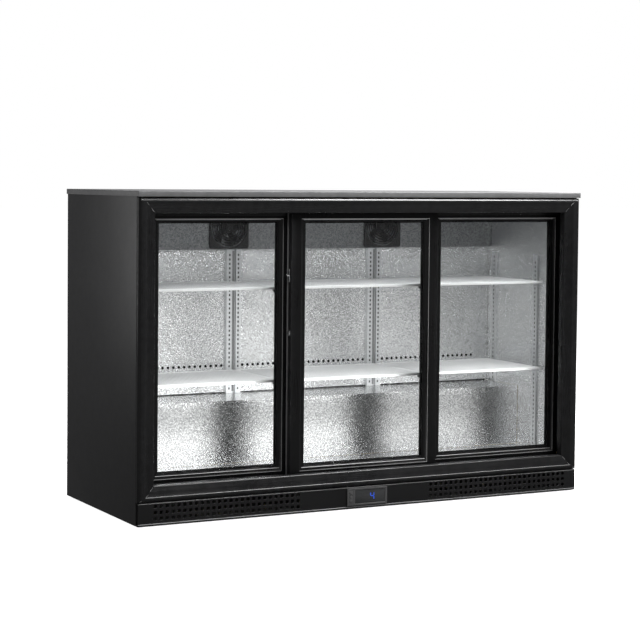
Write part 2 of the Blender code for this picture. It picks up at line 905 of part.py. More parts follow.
def compressor():
    """A hermetic compressor: a rounded can on its mounting plate, with a terminal box."""
    x, y = 0.300, 0.130
    half_long, half_wide, thick = 0.090, 0.070, 0.004
    floor = PAN_TOP + GAP
    body = plate(
        "compressor",
        (x - half_long, y - half_wide, floor),
        (x + half_long, y + half_wide, floor + thick),
        "black_compressor",
    )
    profile = (
        (0.045, floor + 0.003),
        (0.066, floor + 0.030),
        (0.072, floor + 0.060),
        (0.072, floor + 0.105),
        (0.064, floor + 0.145),
        (0.040, floor + 0.170),
        (0.012, floor + 0.178),
    )
    sides = 16
    can = bmesh.new()
    rows = []
    for radius, z in profile:
        row = []
        for i in range(sides):
            angle = 2 * math.pi * i / sides
            row.append(can.verts.new((x + radius * math.cos(angle), y + radius * math.sin(angle), z)))
        rows.append(row)
    can.faces.new(rows[0][::-1])
    can.faces.new(rows[-1])
    for low, high in zip(rows, rows[1:]):
        for i in range(sides):
            j = (i + 1) % sides
            can.faces.new((low[i], low[j], high[j], high[i]))
    join(body, can)
    box = bmesh.new()
    block(box, (x - 0.100, y - 0.025, floor + 0.060), (x - 0.060, y + 0.025, floor + 0.110))
    join(body, box)


def machine_space():
    compressor()
    finned_coil("condenser_coil", (-0.270, 0.195, 0.020), (0.030, 0.235, 0.236), 12)
    rotor(
        "condenser_fan_rotor",
        (-0.120, 0.165, 0.128),
        hub=0.026,
        reach=0.085,
        deep=0.028,
        blades=5,
        finish="black_plastic",
    )


def plinth_grille():
    """The folded plinth: three rows of square holes on each side, a cutout for the controller."""
    deep = 0.011
    thick = 0.0015
    outline = (
        (PLINTH_FRONT, PLINTH_LOW),
        (PLINTH_FRONT, PLINTH_TOP),
        (PLINTH_FRONT + deep, PLINTH_TOP),
        (PLINTH_FRONT + deep, PLINTH_TOP - thick),
        (PLINTH_FRONT + thick, PLINTH_TOP - thick),
        (PLINTH_FRONT + thick, PLINTH_LOW + thick),
        (PLINTH_FRONT + deep, PLINTH_LOW + thick),
        (PLINTH_FRONT + deep, PLINTH_LOW),
    )
    bm = bmesh.new()
    along_x(bm, outline, PLINTH_X)
    plinth = add("plinth_grille", bm, "black_enamel")
    holes = bmesh.new()
    near, far = PLINTH_FRONT - 0.003, PLINTH_FRONT + 0.004
    half = HOLE_SIDE / 2
    for first, count in HOLE_GROUPS:
        for column in range(count):
            x = first + column * HOLE_PITCH
            for z in HOLE_ROWS:
                block(holes, (x - half, near, z - half), (x + half, far, z + half))
    (left, low), (right, high) = BEZEL_CUTOUT
    block(holes, (left, near, low), (right, far, high))
    cut(plinth, holes)


def controller():
    """The thermostat set in the plinth: a bezel, a display window and three keys."""
    back = PLINTH_FRONT - GAP
    near, far = BEZEL_FRONT - THROUGH, back + THROUGH
    bezel = plate(
        "controller_bezel",
        (BEZEL_X[0], BEZEL_FRONT, BEZEL_Z[0]),
        (BEZEL_X[1], back, BEZEL_Z[1]),
        "grey_plastic",
    )
    openings = bmesh.new()
    block(openings, (DISPLAY_X[0], near, DISPLAY_Z[0]), (DISPLAY_X[1], far, DISPLAY_Z[1]))
    half_wide, half_tall = KEY_WIDE / 2, KEY_TALL / 2
    for z in KEYS_Z:
        block(
            openings,
            (KEY_X - half_wide - GAP, near, z - half_tall - GAP),
            (KEY_X + half_wide + GAP, far, z + half_tall + GAP),
        )
    cut(bezel, openings)
    plate(
        "controller_display",
        (DISPLAY_X[0] + GAP, BEZEL_FRONT + 0.0008, DISPLAY_Z[0] + GAP),
        (DISPLAY_X[1] - GAP, DISPLAY_BACK, DISPLAY_Z[1] - GAP),
        "display_window",
    )
    for number, z in enumerate(KEYS_Z, start=1):
        rest = pivot(f"controller_button_{number}_slide", (KEY_X, BEZEL_FRONT - GAP, z))
        plate(
            f"controller_button_{number}",
            (-half_wide, 0.0, -half_tall),
            (half_wide, KEY_DEEP, half_tall),
            "grey_plastic",
            rest,
        )


def main():
    for obj in list(bpy.data.objects):
        bpy.data.objects.remove(obj, do_unlink=True)
    top_panel()
    side_panel("side_panel_left", -1)
    side_panel("side_panel_right", 1)
    back_panel()
    rear_grille()
    base_pan()
    foam_insulation()
    surround_bar("surround_top", SURROUND_TOP, -1)
    surround_bar("surround_bottom", SURROUND_LOW, 1)
    surround_side("surround_left", -1)
    surround_side("surround_right", 1)
    tracks()
    doors()
    liner()
    compressor_step()
    duct_panel()
    cold_air()
    shelving()
    machine_space()
    plinth_grille()
    controller()


main()
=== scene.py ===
"""Looks of an under counter fridge with three sliding glass doors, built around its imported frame.

Metres, +Z up, the doors face -Y. Places come from the boxes of the CAD nodes.
"""

from math import cos, pi, radians, sin, sqrt

import bmesh
import bpy
from mathutils import Matrix, Vector


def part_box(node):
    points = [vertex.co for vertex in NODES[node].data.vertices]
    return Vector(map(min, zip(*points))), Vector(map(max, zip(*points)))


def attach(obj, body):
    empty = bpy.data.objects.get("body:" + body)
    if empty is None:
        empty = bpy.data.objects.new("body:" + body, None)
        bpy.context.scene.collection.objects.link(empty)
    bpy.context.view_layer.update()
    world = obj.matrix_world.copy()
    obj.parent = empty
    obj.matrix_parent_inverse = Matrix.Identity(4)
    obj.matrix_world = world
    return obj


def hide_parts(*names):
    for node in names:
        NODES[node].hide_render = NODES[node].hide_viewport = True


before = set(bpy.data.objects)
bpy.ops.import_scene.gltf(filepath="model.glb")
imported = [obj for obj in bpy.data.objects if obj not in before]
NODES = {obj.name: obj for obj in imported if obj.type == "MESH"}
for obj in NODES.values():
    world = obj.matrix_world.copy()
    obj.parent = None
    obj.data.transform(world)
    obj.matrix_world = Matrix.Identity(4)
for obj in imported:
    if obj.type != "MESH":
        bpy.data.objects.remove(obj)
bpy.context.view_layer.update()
SIDES = ((-1, "left"), (1, "right"))
DOORS = ("left", "middle", "right")
LEVELS = ("lower", "upper")

GAP = 0.0003  # between bodies that don't touch
SHEET = 0.0012  # sheet metal
GLASS_PANE = 0.004
SLOT_TALL = 0.0062  # slots of the shelf uprights and the distance from one to the next
SLOT_PITCH = 0.0125
HOLE_PITCH = 0.0162  # round holes of the duct and square holes of the plinth
FLOOR_GLOW_FRONT = 0.32  # how bright the floor looks in reflections, in front of the fridge and behind
FLOOR_GLOW_BACK = 0.10
# Watts of the soft panels behind each door, named by height, and each door's share of them
FILL_WATTS = {"floor": 0.055, "low": 0.100, "step": 0.22, "middle": 0.185, "high": 0.03}
FILL_SHARES = {"left": 1.0, "middle": 1.0, "right": 0.65}
WHITE = (1.0, 1.0, 1.0, 1.0)


# Mesh tools


def corners(node):
    """A CAD node's box as x0, y0, z0, x1, y1, z1."""
    low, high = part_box(node)
    return (*low, *high)


def arc(u, v, wide, start, stop, steps, tall=None):
    """Points round a centre from one angle to another, in degrees, on a circle or an ellipse."""
    tall = tall or wide
    angles = (radians(start + (stop - start) * i / steps) for i in range(steps + 1))
    return [(u + wide * cos(a), v + tall * sin(a)) for a in angles]


def circle(u, v, radius, sides, start=0):
    """A closed ring of points."""
    return arc(u, v, radius, start, start + 360, sides)[:-1]


def rounded(half_u, half_v, radius, steps=5):
    """The outline of a rounded rectangle round the origin."""
    points = []
    for turn, (u, v) in enumerate(((1, 1), (-1, 1), (-1, -1), (1, -1))):
        centre = u * (half_u - radius), v * (half_v - radius)
        points += arc(*centre, radius, 90 * turn, 90 * (turn + 1), steps)
    return points


def lifted(point, axis, along):
    """A flat point put into space, at a place along X, Y or Z."""
    at = "XYZ".index(axis)
    return (*point[:at], along, *point[at:])


def loft(bm, rings, looped=False):
    """A skin through rings of points, capped at both ends, or joined end to end when looped."""
    rows = [[bm.verts.new(point) for point in ring] for ring in rings]
    pairs = list(zip(rows, rows[1:]))
    if looped:
        pairs.append((rows[-1], rows[0]))
    else:
        bm.faces.new(rows[0][::-1])
        bm.faces.new(rows[-1])
    count = len(rows[0])
    for low, high in pairs:
        for i in range(count):
            j = (i + 1) % count
            bm.faces.new((low[i], low[j], high[j], high[i]))


def bar(bm, axis, near, far, outline):
    """A flat outline drawn out along an axis. Its points hold the other two coordinates, in order."""
    loft(bm, [[lifted(point, axis, along) for point in outline] for along in (near, far)])


def block(bm, low, high):
    """A box between two corners."""
    (x0, y0, z0), (x1, y1, z1) = low, high
    bar(bm, "Z", z0, z1, ((x0, y0), (x1, y0), (x1, y1), (x0, y1)))


def slab(bm, low, high, radius, edge, axis="Z"):
    """A plate with round corners and softened edges, seen along one axis."""
    order = {"X": (1, 2, 0), "Y": (0, 2, 1), "Z": (0, 1, 2)}[axis]
    u, v, w = ((low[i] + high[i]) / 2 for i in order)
    half_u, half_v, half_w = ((high[i] - low[i]) / 2 for i in order)
    steps = ((edge, 0.0), (edge * 0.3, edge * 0.3), (0.0, edge))
    rings = []
    for inset, drop, face in [(*step, -1) for step in steps] + [(*step, 1) for step in steps[::-1]]:
        outline = rounded(half_u - inset, half_v - inset, max(radius - inset, edge * 0.2))
        rings.append([lifted((u + a, v + b), axis, w + face * (half_w - drop)) for a, b in outline])
    loft(bm, rings)


def turned(bm, centre, axis, profile, sides=32):
    """A lathe shape about a line along X, Y or Z. The profile is (radius, distance along) pairs."""
    rings = []
    for radius, along in profile:
        ring = [lifted(point, axis, along) for point in circle(0.0, 0.0, radius, sides)]
        rings.append([[c + offset for c, offset in zip(centre, point)] for point in ring])
    loft(bm, rings)


def tube(bm, path, radius, sides=8):
    """A round rod along a path."""
    points = [Vector(point) for point in path]
    rings = []
    for i, point in enumerate(points):
        along = (points[min(i + 1, len(points) - 1)] - points[max(i - 1, 0)]).normalized()
        across = along.cross(Vector((0, 0, 1)))
        if across.length < 1e-3:
            across = along.cross(Vector((1, 0, 0)))
        across.normalize()
        up = across.cross(along)
        rings.append([point + across * u + up * v for u, v in circle(0.0, 0.0, radius, sides)])
    loft(bm, rings)


def hoop(bm, centre, reach, wire, turns=48, sides=8):
    """A round wire ring that faces the front."""
    x, y, z = centre
    section = circle(reach, y, wire, sides)
    rings = []
    for across, up in circle(0.0, 0.0, 1.0, turns):
        rings.append([(x + out * across, deep, z + out * up) for out, deep in section])
    loft(bm, rings, looped=True)


def wedge(bm, axis, centre, half, root, reach, top, lip, tall):
    """A bracket that tapers from its root to a thin lip, with a level top."""
    tip = root + reach
    outline = ((root, top), (tip, top), (tip, top - lip), (root, top - tall))
    bar(bm, axis, centre - half, centre + half, outline)


def pierced(bm, across, up, opening, thick, place=Matrix.Identity(4)):
    """A plate on a grid in the XZ plane. opening(i, j) is None, 0 for a whole cell or a hole's radius."""
    sheet = bmesh.new()
    known = {}

    def at(u, v):
        key = (round(u, 6), round(v, 6))
        if key not in known:
            known[key] = sheet.verts.new((u, 0.0, v))
        return known[key]

    quarter = 4
    for i, (u0, u1) in enumerate(zip(across, across[1:])):
        for j, (v0, v1) in enumerate(zip(up, up[1:])):
            radius = opening(i, j)
            square = [at(u0, v0), at(u1, v0), at(u1, v1), at(u0, v1)]
            if radius is None:
                sheet.faces.new(square)
            elif radius > 0:
                hole = circle((u0 + u1) / 2, (v0 + v1) / 2, radius, 4 * quarter, -135)
                rim = [at(*point) for point in hole]
                for side in range(4):
                    part = [rim[(side * quarter + k) % len(rim)] for k in range(quarter + 1)]
                    sheet.faces.new([square[side], square[(side + 1) % 4]] + part[::-1])
    deep = bmesh.ops.extrude_face_region(sheet, geom=sheet.faces[:])["geom"]
    raised = [v for v in deep if isinstance(v, bmesh.types.BMVert)]
    bmesh.ops.translate(sheet, verts=raised, vec=(0, thick, 0))
    loose = [v for v in sheet.verts if not v.link_faces]
    bmesh.ops.delete(sheet, geom=loose, context="VERTS")
    bmesh.ops.transform(sheet, matrix=place, verts=sheet.verts)
    mesh = bpy.data.meshes.new("part")
    sheet.to_mesh(mesh)
    sheet.free()
    bm.from_mesh(mesh)
    bpy.data.meshes.remove(mesh)


def drawn(tool, *args, **settings):
    """A new bmesh with one shape in it."""
    bm = bmesh.new()
    tool(bm, *args, **settings)
    return bm


def soften(obj, width, segments=3):
    """Rounds the edges of a piece."""
    bevel = obj.modifiers.new("edges", "BEVEL")
    bevel.width = width
    bevel.segments = segments
    bevel.limit_method = "ANGLE"
    bevel.angle_limit = radians(35)
    bevel.harden_normals = True
    bevel.use_clamp_overlap = True


def piece(name, bm, finish, body="cabinet", replaces=(), bevel=0.0):
    """Turns a bmesh into a piece of the fridge that rides on a body."""
    bmesh.ops.recalc_face_normals(bm, faces=bm.faces)
    mesh = bpy.data.meshes.new(name)
    bm.to_mesh(mesh)
    bm.free()
    mesh.shade_smooth()
    mesh.materials.append(finish)
    obj = bpy.data.objects.new(name, mesh)
    bpy.context.scene.collection.objects.link(obj)
    if bevel:
        soften(obj, bevel)
    else:
        mesh.set_sharp_from_angle(angle=radians(38))
    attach(obj, body)
    if replaces:
        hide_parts(*replaces)


def dress(node, finish, bevel=0.0):
    """Gives a CAD node its finish, and softer edges."""
    obj = NODES[node]
    for holder in obj.material_slots:
        holder.material = finish
    if bevel:
        weld = obj.modifiers.new("weld", "WELD")
        weld.merge_threshold = 0.00001
        soften(obj, bevel, 2)


# Material tools


def feed(tree, target, sockets):
    """Sets the inputs of a node to constants, or links them to outputs of other nodes."""
    for key, value in sockets.items():
        if isinstance(value, bpy.types.NodeSocket):
            tree.links.new(value, target.inputs[key])
        else:
            target.inputs[key].default_value = value


def node(tree, kind, sockets=(), **settings):
    """A new shader node. The sockets' values are constants or outputs of other nodes."""
    made = tree.nodes.new(kind)
    for key, value in settings.items():
        setattr(made, key, value)
    feed(tree, made, dict(sockets))
    return made


def coordinates(tree, stretch=(1, 1, 1)):
    """Object coordinates, squeezed along each axis for brushed or drawn surfaces."""
    source = node(tree, "ShaderNodeTexCoord").outputs["Object"]
    return node(tree, "ShaderNodeMapping", {"Vector": source, "Scale": stretch}).outputs["Vector"]


def noise(tree, place, scale, detail=3.0):
    sockets = {"Vector": place, "Scale": scale, "Detail": detail}
    return node(tree, "ShaderNodeTexNoise", sockets).outputs["Fac"]


def ramp(tree, source, low, high, start=0.3, stop=0.7):
    """Two colours blended by a value."""
    made = node(tree, "ShaderNodeValToRGB", {"Fac": source})
    for element, place, colour in zip(made.color_ramp.elements, (start, stop), (low, high)):
        element.position = place
        element.color = (*colour, 1.0)
    return made.outputs["Color"]


def between(tree, source, low, high, start=0.3, stop=0.7):
    """A value moved to another range."""
    sockets = {"Value": source, "From Min": start, "From Max": stop, "To Min": low, "To Max": high}
    return node(tree, "ShaderNodeMapRange", sockets).outputs["Result"]


def relief(tree, height, deep):
    """The surface direction over a height field."""
    sockets = {"Strength": 1.0, "Distance": deep, "Height": height}
    return node(tree, "ShaderNodeBump", sockets).outputs["Normal"]


def add_values(tree, first, second, share):
    """first plus a share of second."""
    sockets = {0: second, 1: share, 2: first}
    return node(tree, "ShaderNodeMath", sockets, operation="MULTIPLY_ADD").outputs["Value"]


def worn_colour(tree, colour, worn):
    """A lighter colour on the outer edges, broken up by noise."""
    edges = node(tree, "ShaderNodeNewGeometry").outputs["Pointiness"]
    broken = add_values(tree, edges, noise(tree, coordinates(tree), 60.0, 4.0), 0.06)
    amount = between(tree, broken, 0.0, 1.0, 0.56, 0.66)
    sockets = {"Factor": amount, 6: colour, 7: (*worn, 1.0)}
    return node(tree, "ShaderNodeMix", sockets, data_type="RGBA").outputs[2]


def shader_of(material):
    """A material's node tree and its Principled shader."""
    return material.node_tree, material.node_tree.nodes["Principled BSDF"]


def show(tree, shader, output="Material Output"):
    """Makes a shader the visible one."""
    tree.links.new(shader.outputs[0], tree.nodes[output].inputs["Surface"])


def surface(name, dark, light, rough, grain, patches=4.0, stretch=(1, 1, 1), worn=None, **sockets):
    """A Principled material. rough is its range, grain is (scale, depth) of the fine relief."""
    made = bpy.data.materials.new(name)
    made.use_nodes = True
    tree, shader = shader_of(made)
    broad = noise(tree, coordinates(tree), patches, 4.0)
    fine = noise(tree, coordinates(tree, stretch), grain[0], 3.0)
    both = add_values(tree, broad, fine, 0.35)
    colour = ramp(tree, both, dark, light, 0.45, 0.85)
    if worn:
        colour = worn_colour(tree, colour, worn)
    gloss = between(tree, both, *rough, 0.45, 0.85)
    feed(tree, shader, {"Base Color": colour, "Roughness": gloss, "Normal": relief(tree, fine, grain[1])})
    feed(tree, shader, {key.replace("_", " "): value for key, value in sockets.items()})
    return made


def stucco(name, dark, light, rough, deep):
    """Embossed aluminium sheet: small pebbles under a fine grain, each with its own shade."""
    made = surface(name, dark, light, rough, (900.0, 0.00002), 3.0, Metallic=1.0)
    tree, shader = shader_of(made)
    place = coordinates(tree)
    sockets = {"Vector": place, "Scale": 412.5, "Smoothness": 0.5, "Randomness": 1.0}
    pebbles = node(tree, "ShaderNodeTexVoronoi", sockets, feature="SMOOTH_F1").outputs["Distance"]
    waves = noise(tree, place, 268.75, 2.0)
    bumps = relief(tree, add_values(tree, waves, pebbles, -0.9), deep)
    tone = add_values(tree, noise(tree, place, 500.0, 1.0), waves, 0.6)
    feed(tree, shader, {"Normal": bumps, "Base Color": ramp(tree, tone, dark, light, 0.66, 0.94)})
    return made


def galvanised():
    """Zinc plated sheet with its patchwork of crystals."""
    dark, light = (0.42, 0.44, 0.45), (0.56, 0.58, 0.59)
    made = surface("galvanised_sheet", dark, light, (0.38, 0.55), (700.0, 0.00001), Metallic=1.0)
    tree, shader = shader_of(made)
    sockets = {"Vector": coordinates(tree), "Scale": 75.0, "Randomness": 1.0}
    crystals = node(tree, "ShaderNodeTexVoronoi", sockets)
    tone = node(tree, "ShaderNodeSeparateColor", {"Color": crystals.outputs["Color"]}).outputs
    shade = ramp(tree, tone["Red"], (0.40, 0.42, 0.43), (0.60, 0.62, 0.63), 0.0, 1.0)
    feed(tree, shader, {"Base Color": shade, "Roughness": between(tree, tone["Green"], 0.34, 0.56, 0.0, 1.0)})
    return made


def clear_glass():
    """Clear panes: see-through, with a mirror share that grows at a slant, and faint smears."""
    made = bpy.data.materials.new("glass_clear")
    made.use_nodes = True
    tree, shader = shader_of(made)
    tree.nodes.remove(shader)
    smears = noise(tree, coordinates(tree, (1, 1, 0.3)), 9.0, 5.0)
    tint = ramp(tree, smears, (0.982, 0.985, 0.984), (0.990, 0.992, 0.991))
    through = node(tree, "ShaderNodeBsdfTransparent", {"Color": tint}).outputs["BSDF"]
    gloss = {"Color": WHITE, "Roughness": between(tree, smears, 0.015, 0.05)}
    mirror = node(tree, "ShaderNodeBsdfGlossy", gloss).outputs["BSDF"]
    slant = node(tree, "ShaderNodeLayerWeight", {"Blend": 0.5}).outputs["Facing"]
    rise = node(tree, "ShaderNodeMath", {0: slant, 1: 5.0}, operation="POWER").outputs["Value"]
    share = between(tree, rise, 0.008, 0.85, 0.0, 1.0)
    show(tree, node(tree, "ShaderNodeMixShader", {"Fac": share, 1: through, 2: mirror}))
    return made


def glowing(name, low, high, strength, scale):
    """A lit surface whose colour varies slightly."""
    made = surface(name, high, high, (0.25, 0.35), (500.0, 0.00001))
    tree, shader = shader_of(made)
    tone = ramp(tree, noise(tree, coordinates(tree), scale, 2.0), low, high)
    feed(tree, shader, {"Emission Color": tone, "Emission Strength": strength})
    return made


ENAMEL = surface(
    "enamel_black", (0.0075, 0.0075, 0.008), (0.012, 0.012, 0.0126), (0.36, 0.48), (1300.0, 0.00003),
    worn=(0.035, 0.035, 0.037), Specular_IOR_Level=0.40,
)
# A flatter, darker copy of the black enamel for the plinth: the lower gloss is a surface setting, the darker
# colour is painted shade.
ENAMEL_FLAT_SHADED = surface(
    "enamel_black_flat_shaded", (0.0065, 0.0065, 0.007), (0.010, 0.010, 0.0105), (0.38, 0.50), (1300.0, 0.00003),
    Specular_IOR_Level=0.34,
)
WORKTOP = surface(
    "enamel_grey", (0.108, 0.108, 0.111), (0.140, 0.140, 0.143), (0.40, 0.52), (1100.0, 0.00003), 6.0,
    worn=(0.28, 0.28, 0.285),
)
ANODISED_X = surface(
    "anodised_along", (0.0035, 0.0035, 0.0038), (0.0065, 0.0065, 0.0069), (0.22, 0.34), (900.0, 0.000012),
    stretch=(0.02, 1, 1), worn=(0.030, 0.030, 0.031), Specular_IOR_Level=0.34,
)
# A darker, less glossy copy of anodised_along for the surround's upright members: painted shade. The door
# frames and the left glazing beads use it too.
ANODISED_Z_SHADED = surface(
    "anodised_upright_shaded", (0.0028, 0.0028, 0.003), (0.005, 0.005, 0.0053), (0.22, 0.34), (900.0, 0.000012),
    stretch=(1, 1, 0.02), worn=(0.020, 0.020, 0.021), Specular_IOR_Level=0.26,
)
# Mid grey: painted highlight lines on the black ridge, mitres, glazing beads, interlock strips and plinth
# beads, and painted shade in the channels of the back uprights.
HIGHLIGHT_AND_SHADE_GREY = surface(
    "painted_highlight_and_shade_grey", (0.160, 0.160, 0.162), (0.220, 0.220, 0.223), (0.24, 0.36), (900.0, 0.00001),
    worn=(0.26, 0.26, 0.26),
)
NOSE = surface(
    "anodised_nose", (0.004, 0.004, 0.0042), (0.007, 0.007, 0.0073), (0.20, 0.30), (900.0, 0.000006),
    stretch=(0.02, 1, 1), Specular_IOR_Level=1.0,
)
# Near white grey for the upper glazing beads of the doors: a painted highlight on black anodised aluminium.
BRIGHT_HIGHLIGHT = surface(
    "painted_highlight_bright", (0.72, 0.72, 0.725), (0.84, 0.84, 0.845), (0.22, 0.34), (900.0, 0.00001)
)
STUCCO = stucco("stucco_aluminium_wall", (0.50, 0.505, 0.51), (0.97, 0.975, 0.98), (0.16, 0.26), 0.0008)
STUCCO_STEP = stucco("stucco_aluminium_step", (0.50, 0.505, 0.51), (0.97, 0.975, 0.98), (0.12, 0.20), 0.0004)
# A much darker copy of the walls' embossed aluminium for the evaporator cover: painted shade.
STUCCO_SHADED = stucco("stucco_aluminium_cover_shaded", (0.12, 0.123, 0.125), (0.25, 0.255, 0.26), (0.28, 0.40), 0.0009)
ALUMINIUM = surface(
    "aluminium_smooth", (0.62, 0.63, 0.64), (0.76, 0.77, 0.78), (0.28, 0.40), (600.0, 0.00002),
    stretch=(1, 1, 0.05), Metallic=1.0,
)
GALVANISED = galvanised()
FOAM = surface("foam_cut", (0.62, 0.50, 0.26), (0.80, 0.70, 0.44), (0.8, 0.95), (420.0, 0.0006), 20.0)
PLASTIC = surface(
    "plastic_black", (0.020, 0.020, 0.021), (0.032, 0.032, 0.033), (0.38, 0.52), (1500.0, 0.00004),
    Specular_IOR_Level=0.20,
)
BEZEL = surface("plastic_grey", (0.066, 0.066, 0.067), (0.086, 0.086, 0.087), (0.30, 0.42), (1600.0, 0.00003))
WINDOW = surface(
    "display_smoked", (0.032, 0.033, 0.034), (0.042, 0.043, 0.044), (0.08, 0.16), (300.0, 0.000004)
)
NYLON = surface("nylon_roller", (0.62, 0.61, 0.56), (0.74, 0.73, 0.69), (0.40, 0.52), (800.0, 0.00003))
CHROME = surface(
    "chrome_plate", (0.62, 0.63, 0.64), (0.78, 0.79, 0.80), (0.08, 0.20), (900.0, 0.000006), Metallic=1.0
)
WIRE = surface("wire_white", (0.86, 0.865, 0.87), (0.94, 0.945, 0.945), (0.28, 0.42), (700.0, 0.00005), 12.0)
COMPRESSOR = surface(
    "compressor_black", (0.010, 0.010, 0.011), (0.020, 0.020, 0.021), (0.30, 0.48), (500.0, 0.0001), 14.0,
    worn=(0.06, 0.05, 0.045),
)
FINS = surface(
    "fin_aluminium_stack", (0.44, 0.45, 0.46), (0.70, 0.71, 0.72), (0.35, 0.5), (500.0, 0.0004),
    stretch=(1, 0.02, 0.02), Metallic=1.0,
)
# Black rubber for the feet, seals and glass spacers, and also the painted shade of the key slot and behind
# the duct holes.
BLACK_RUBBER_AND_SHADE = surface(
    "rubber_black_and_painted_shade", (0.006, 0.006, 0.006), (0.010, 0.010, 0.010), (0.62, 0.78), (900.0, 0.00006),
    Specular_IOR_Level=0.10,
)
ZINC = surface(
    "zinc_screw", (0.48, 0.48, 0.47), (0.62, 0.62, 0.60), (0.25, 0.40), (1200.0, 0.00003), Metallic=1.0
)
# Dark grey sheets set behind the slots of the shelf uprights: painted shade.
PAINTED_SHADE = surface("painted_shade_dark_grey", (0.035, 0.035, 0.036), (0.060, 0.060, 0.062), (0.5, 0.7), (700.0, 0.00003))
GLASS = clear_glass()
LED = glowing("led_diffuser", (0.88, 0.93, 1.0), (1.0, 1.0, 1.0), 1.5, 40.0)
DIGIT = glowing("digit_blue", (0.010, 0.040, 0.36), (0.020, 0.080, 0.52), 0.7, 300.0)


# Cabinet shell


def worktop():
    """A folded tray with rounded corners and a softened upper edge."""
    x0, y0, z0, x1, y1, z1 = corners("top_panel")
    middle_y = (y0 + y1) / 2
    corner, edge, burr = 0.003, 0.0016, 0.0003

    def ring(inset, z):
        outline = rounded((x1 - x0) / 2 - inset, (y1 - y0) / 2 - inset, max(corner - inset, 2 * burr))
        return [(x, middle_y + y, z) for x, y in outline]

    rings = [ring(SHEET, z1 - SHEET), ring(SHEET, z0), ring(0.0002, z0), ring(0.0, z0 + burr)]
    rings += [ring(inset, z) for inset, z in arc(edge, z1 - edge, edge, 180, 90, 4)]
    piece("worktop", drawn(loft, rings), WORKTOP, replaces=("top_panel",))


def side_panel(side, label):
    """A sheet with rounded folds along its front and back edges."""
    name = f"side_panel_{label}"
    x0, y0, z0, x1, y1, z1 = corners(name)
    outer = max(abs(x0), abs(x1))
    fold, bend = 0.012, 0.0022
    outline = []
    for inset, order in ((0.0, 1), (SHEET, -1)):
        line = [(outer - fold, y0 + inset)]
        line += arc(outer - bend, y0 + bend, bend - inset, -90, 0, 4)
        line += arc(outer - bend, y1 - bend, bend - inset, 0, 90, 4)
        line.append((outer - fold, y1 - inset))
        outline += line[::order]
    skin = drawn(bar, "Z", z0, z1, [(side * x, y) for x, y in outline])
    piece(f"side_skin_{label}", skin, ENAMEL, replaces=(name,))


def screw_heads(name, places):
    """Domed screws with a round recess, seen from behind. Each place is the centre of a head's foot."""
    radius = 0.0042
    profile = (
        (radius, 0.0), (radius, 0.0006), (radius * 0.8, 0.0013), (radius * 0.4, 0.0017),
        (radius * 0.34, 0.0009), (0.0002, 0.0009),
    )
    bm = bmesh.new()
    for place in places:
        turned(bm, place, "Y", profile, 16)
    piece(name, bm, ZINC)


def rear():
    """The back sheet, the louvred plate of the machine space, and their screws."""
    dress("back_panel", GALVANISED, 0.0004)
    dress("rear_grille", GALVANISED, 0.0003)
    x0, _, z0, x1, y1, z1 = corners("back_panel")
    inset, count = 0.012, 8
    places = []
    for i in range(count):
        x = x0 + inset + (x1 - x0 - 2 * inset) * i / (count - 1)
        places += [(x, y1 - 0.0019, z) for z in (z0 + inset, z1 - inset)]
    screw_heads("back_screws", places)

    x0, y0, z0, x1, _, z1 = corners("rear_grille")
    plate = y0 + SHEET
    spacing, half, lowest, pitch = 0.36, 0.131, 0.055, 0.022
    louvres = bmesh.new()
    for centre in (-spacing, 0.0, spacing):
        for row in range(8):
            hood(louvres, centre, half, plate, lowest + row * pitch)
    piece("rear_louvres", louvres, GALVANISED)
    across = (x0 + 0.02, -spacing / 2, spacing / 2, x1 - 0.02)
    screw_heads("grille_screws", [(x, plate - 0.0001, z) for x in across for z in (z0 + inset, z1 - inset)])

    profile = ((0.0145, 0.0), (0.0145, 0.0040), (0.0135, 0.0048), (0.0095, 0.0048), (0.0095, 0.0))
    nut = drawn(turned, (0.575, plate + GAP, 0.060), "Y", profile, 6)
    piece("gland_nut", nut, PLASTIC)


def hood(bm, centre, half, plate, top):
    """A pressed half round hood over one slot, open downwards and flat at both ends."""
    deep, tall, skin, steps = 0.0055, 0.0085, 0.0008, 10
    quarter = arc(0.0, 0.0, 1.0, 90, 0, 5)
    rings = []
    for share in (-1 + 2 * i / steps for i in range(steps + 1)):
        bulge = deep * max(sqrt(max(1 - abs(share) ** 8, 0.0)), 0.12)
        ring = []
        for inset, order in ((0.0, 1), (skin, -1)):
            out, drop = max(bulge - inset, 0.0001), tall - inset
            x, crown = centre + half * share, top - inset
            ring += [(x, plate + out * u, crown - drop * (1 - v)) for u, v in quarter[::order]]
        rings.append(ring)
    loft(bm, rings)


def base():
    """The floor sheet, which reaches the plinth's foot, and four ribbed feet."""
    x0, _, z0, x1, y1, z1 = corners("base_pan")
    floor = z1 - 0.0015
    pan = drawn(slab, (x0, corners("plinth_grille")[4] + GAP, floor), (x1, y1, z1), 0.004, 0.0004)
    piece("base_sheet", pan, GALVANISED, replaces=("base_pan",))
    feet = bmesh.new()
    profile = (
        (0.0150, z0), (0.0168, z0 + 0.0010), (0.0170, z0 + 0.0030), (0.0158, z0 + 0.0036),
        (0.0158, z0 + 0.0050), (0.0142, z0 + 0.0060), (0.0100, z0 + 0.0075), (0.0100, floor - GAP),
    )
    for x in (-0.60, 0.60):
        for y in (-0.195, 0.205):
            turned(feet, (x, y, 0.0), "Z", profile, 28)
    piece("feet", feet, BLACK_RUBBER_AND_SHADE)
    dress("foam_insulation", FOAM)


# Front surround and tracks


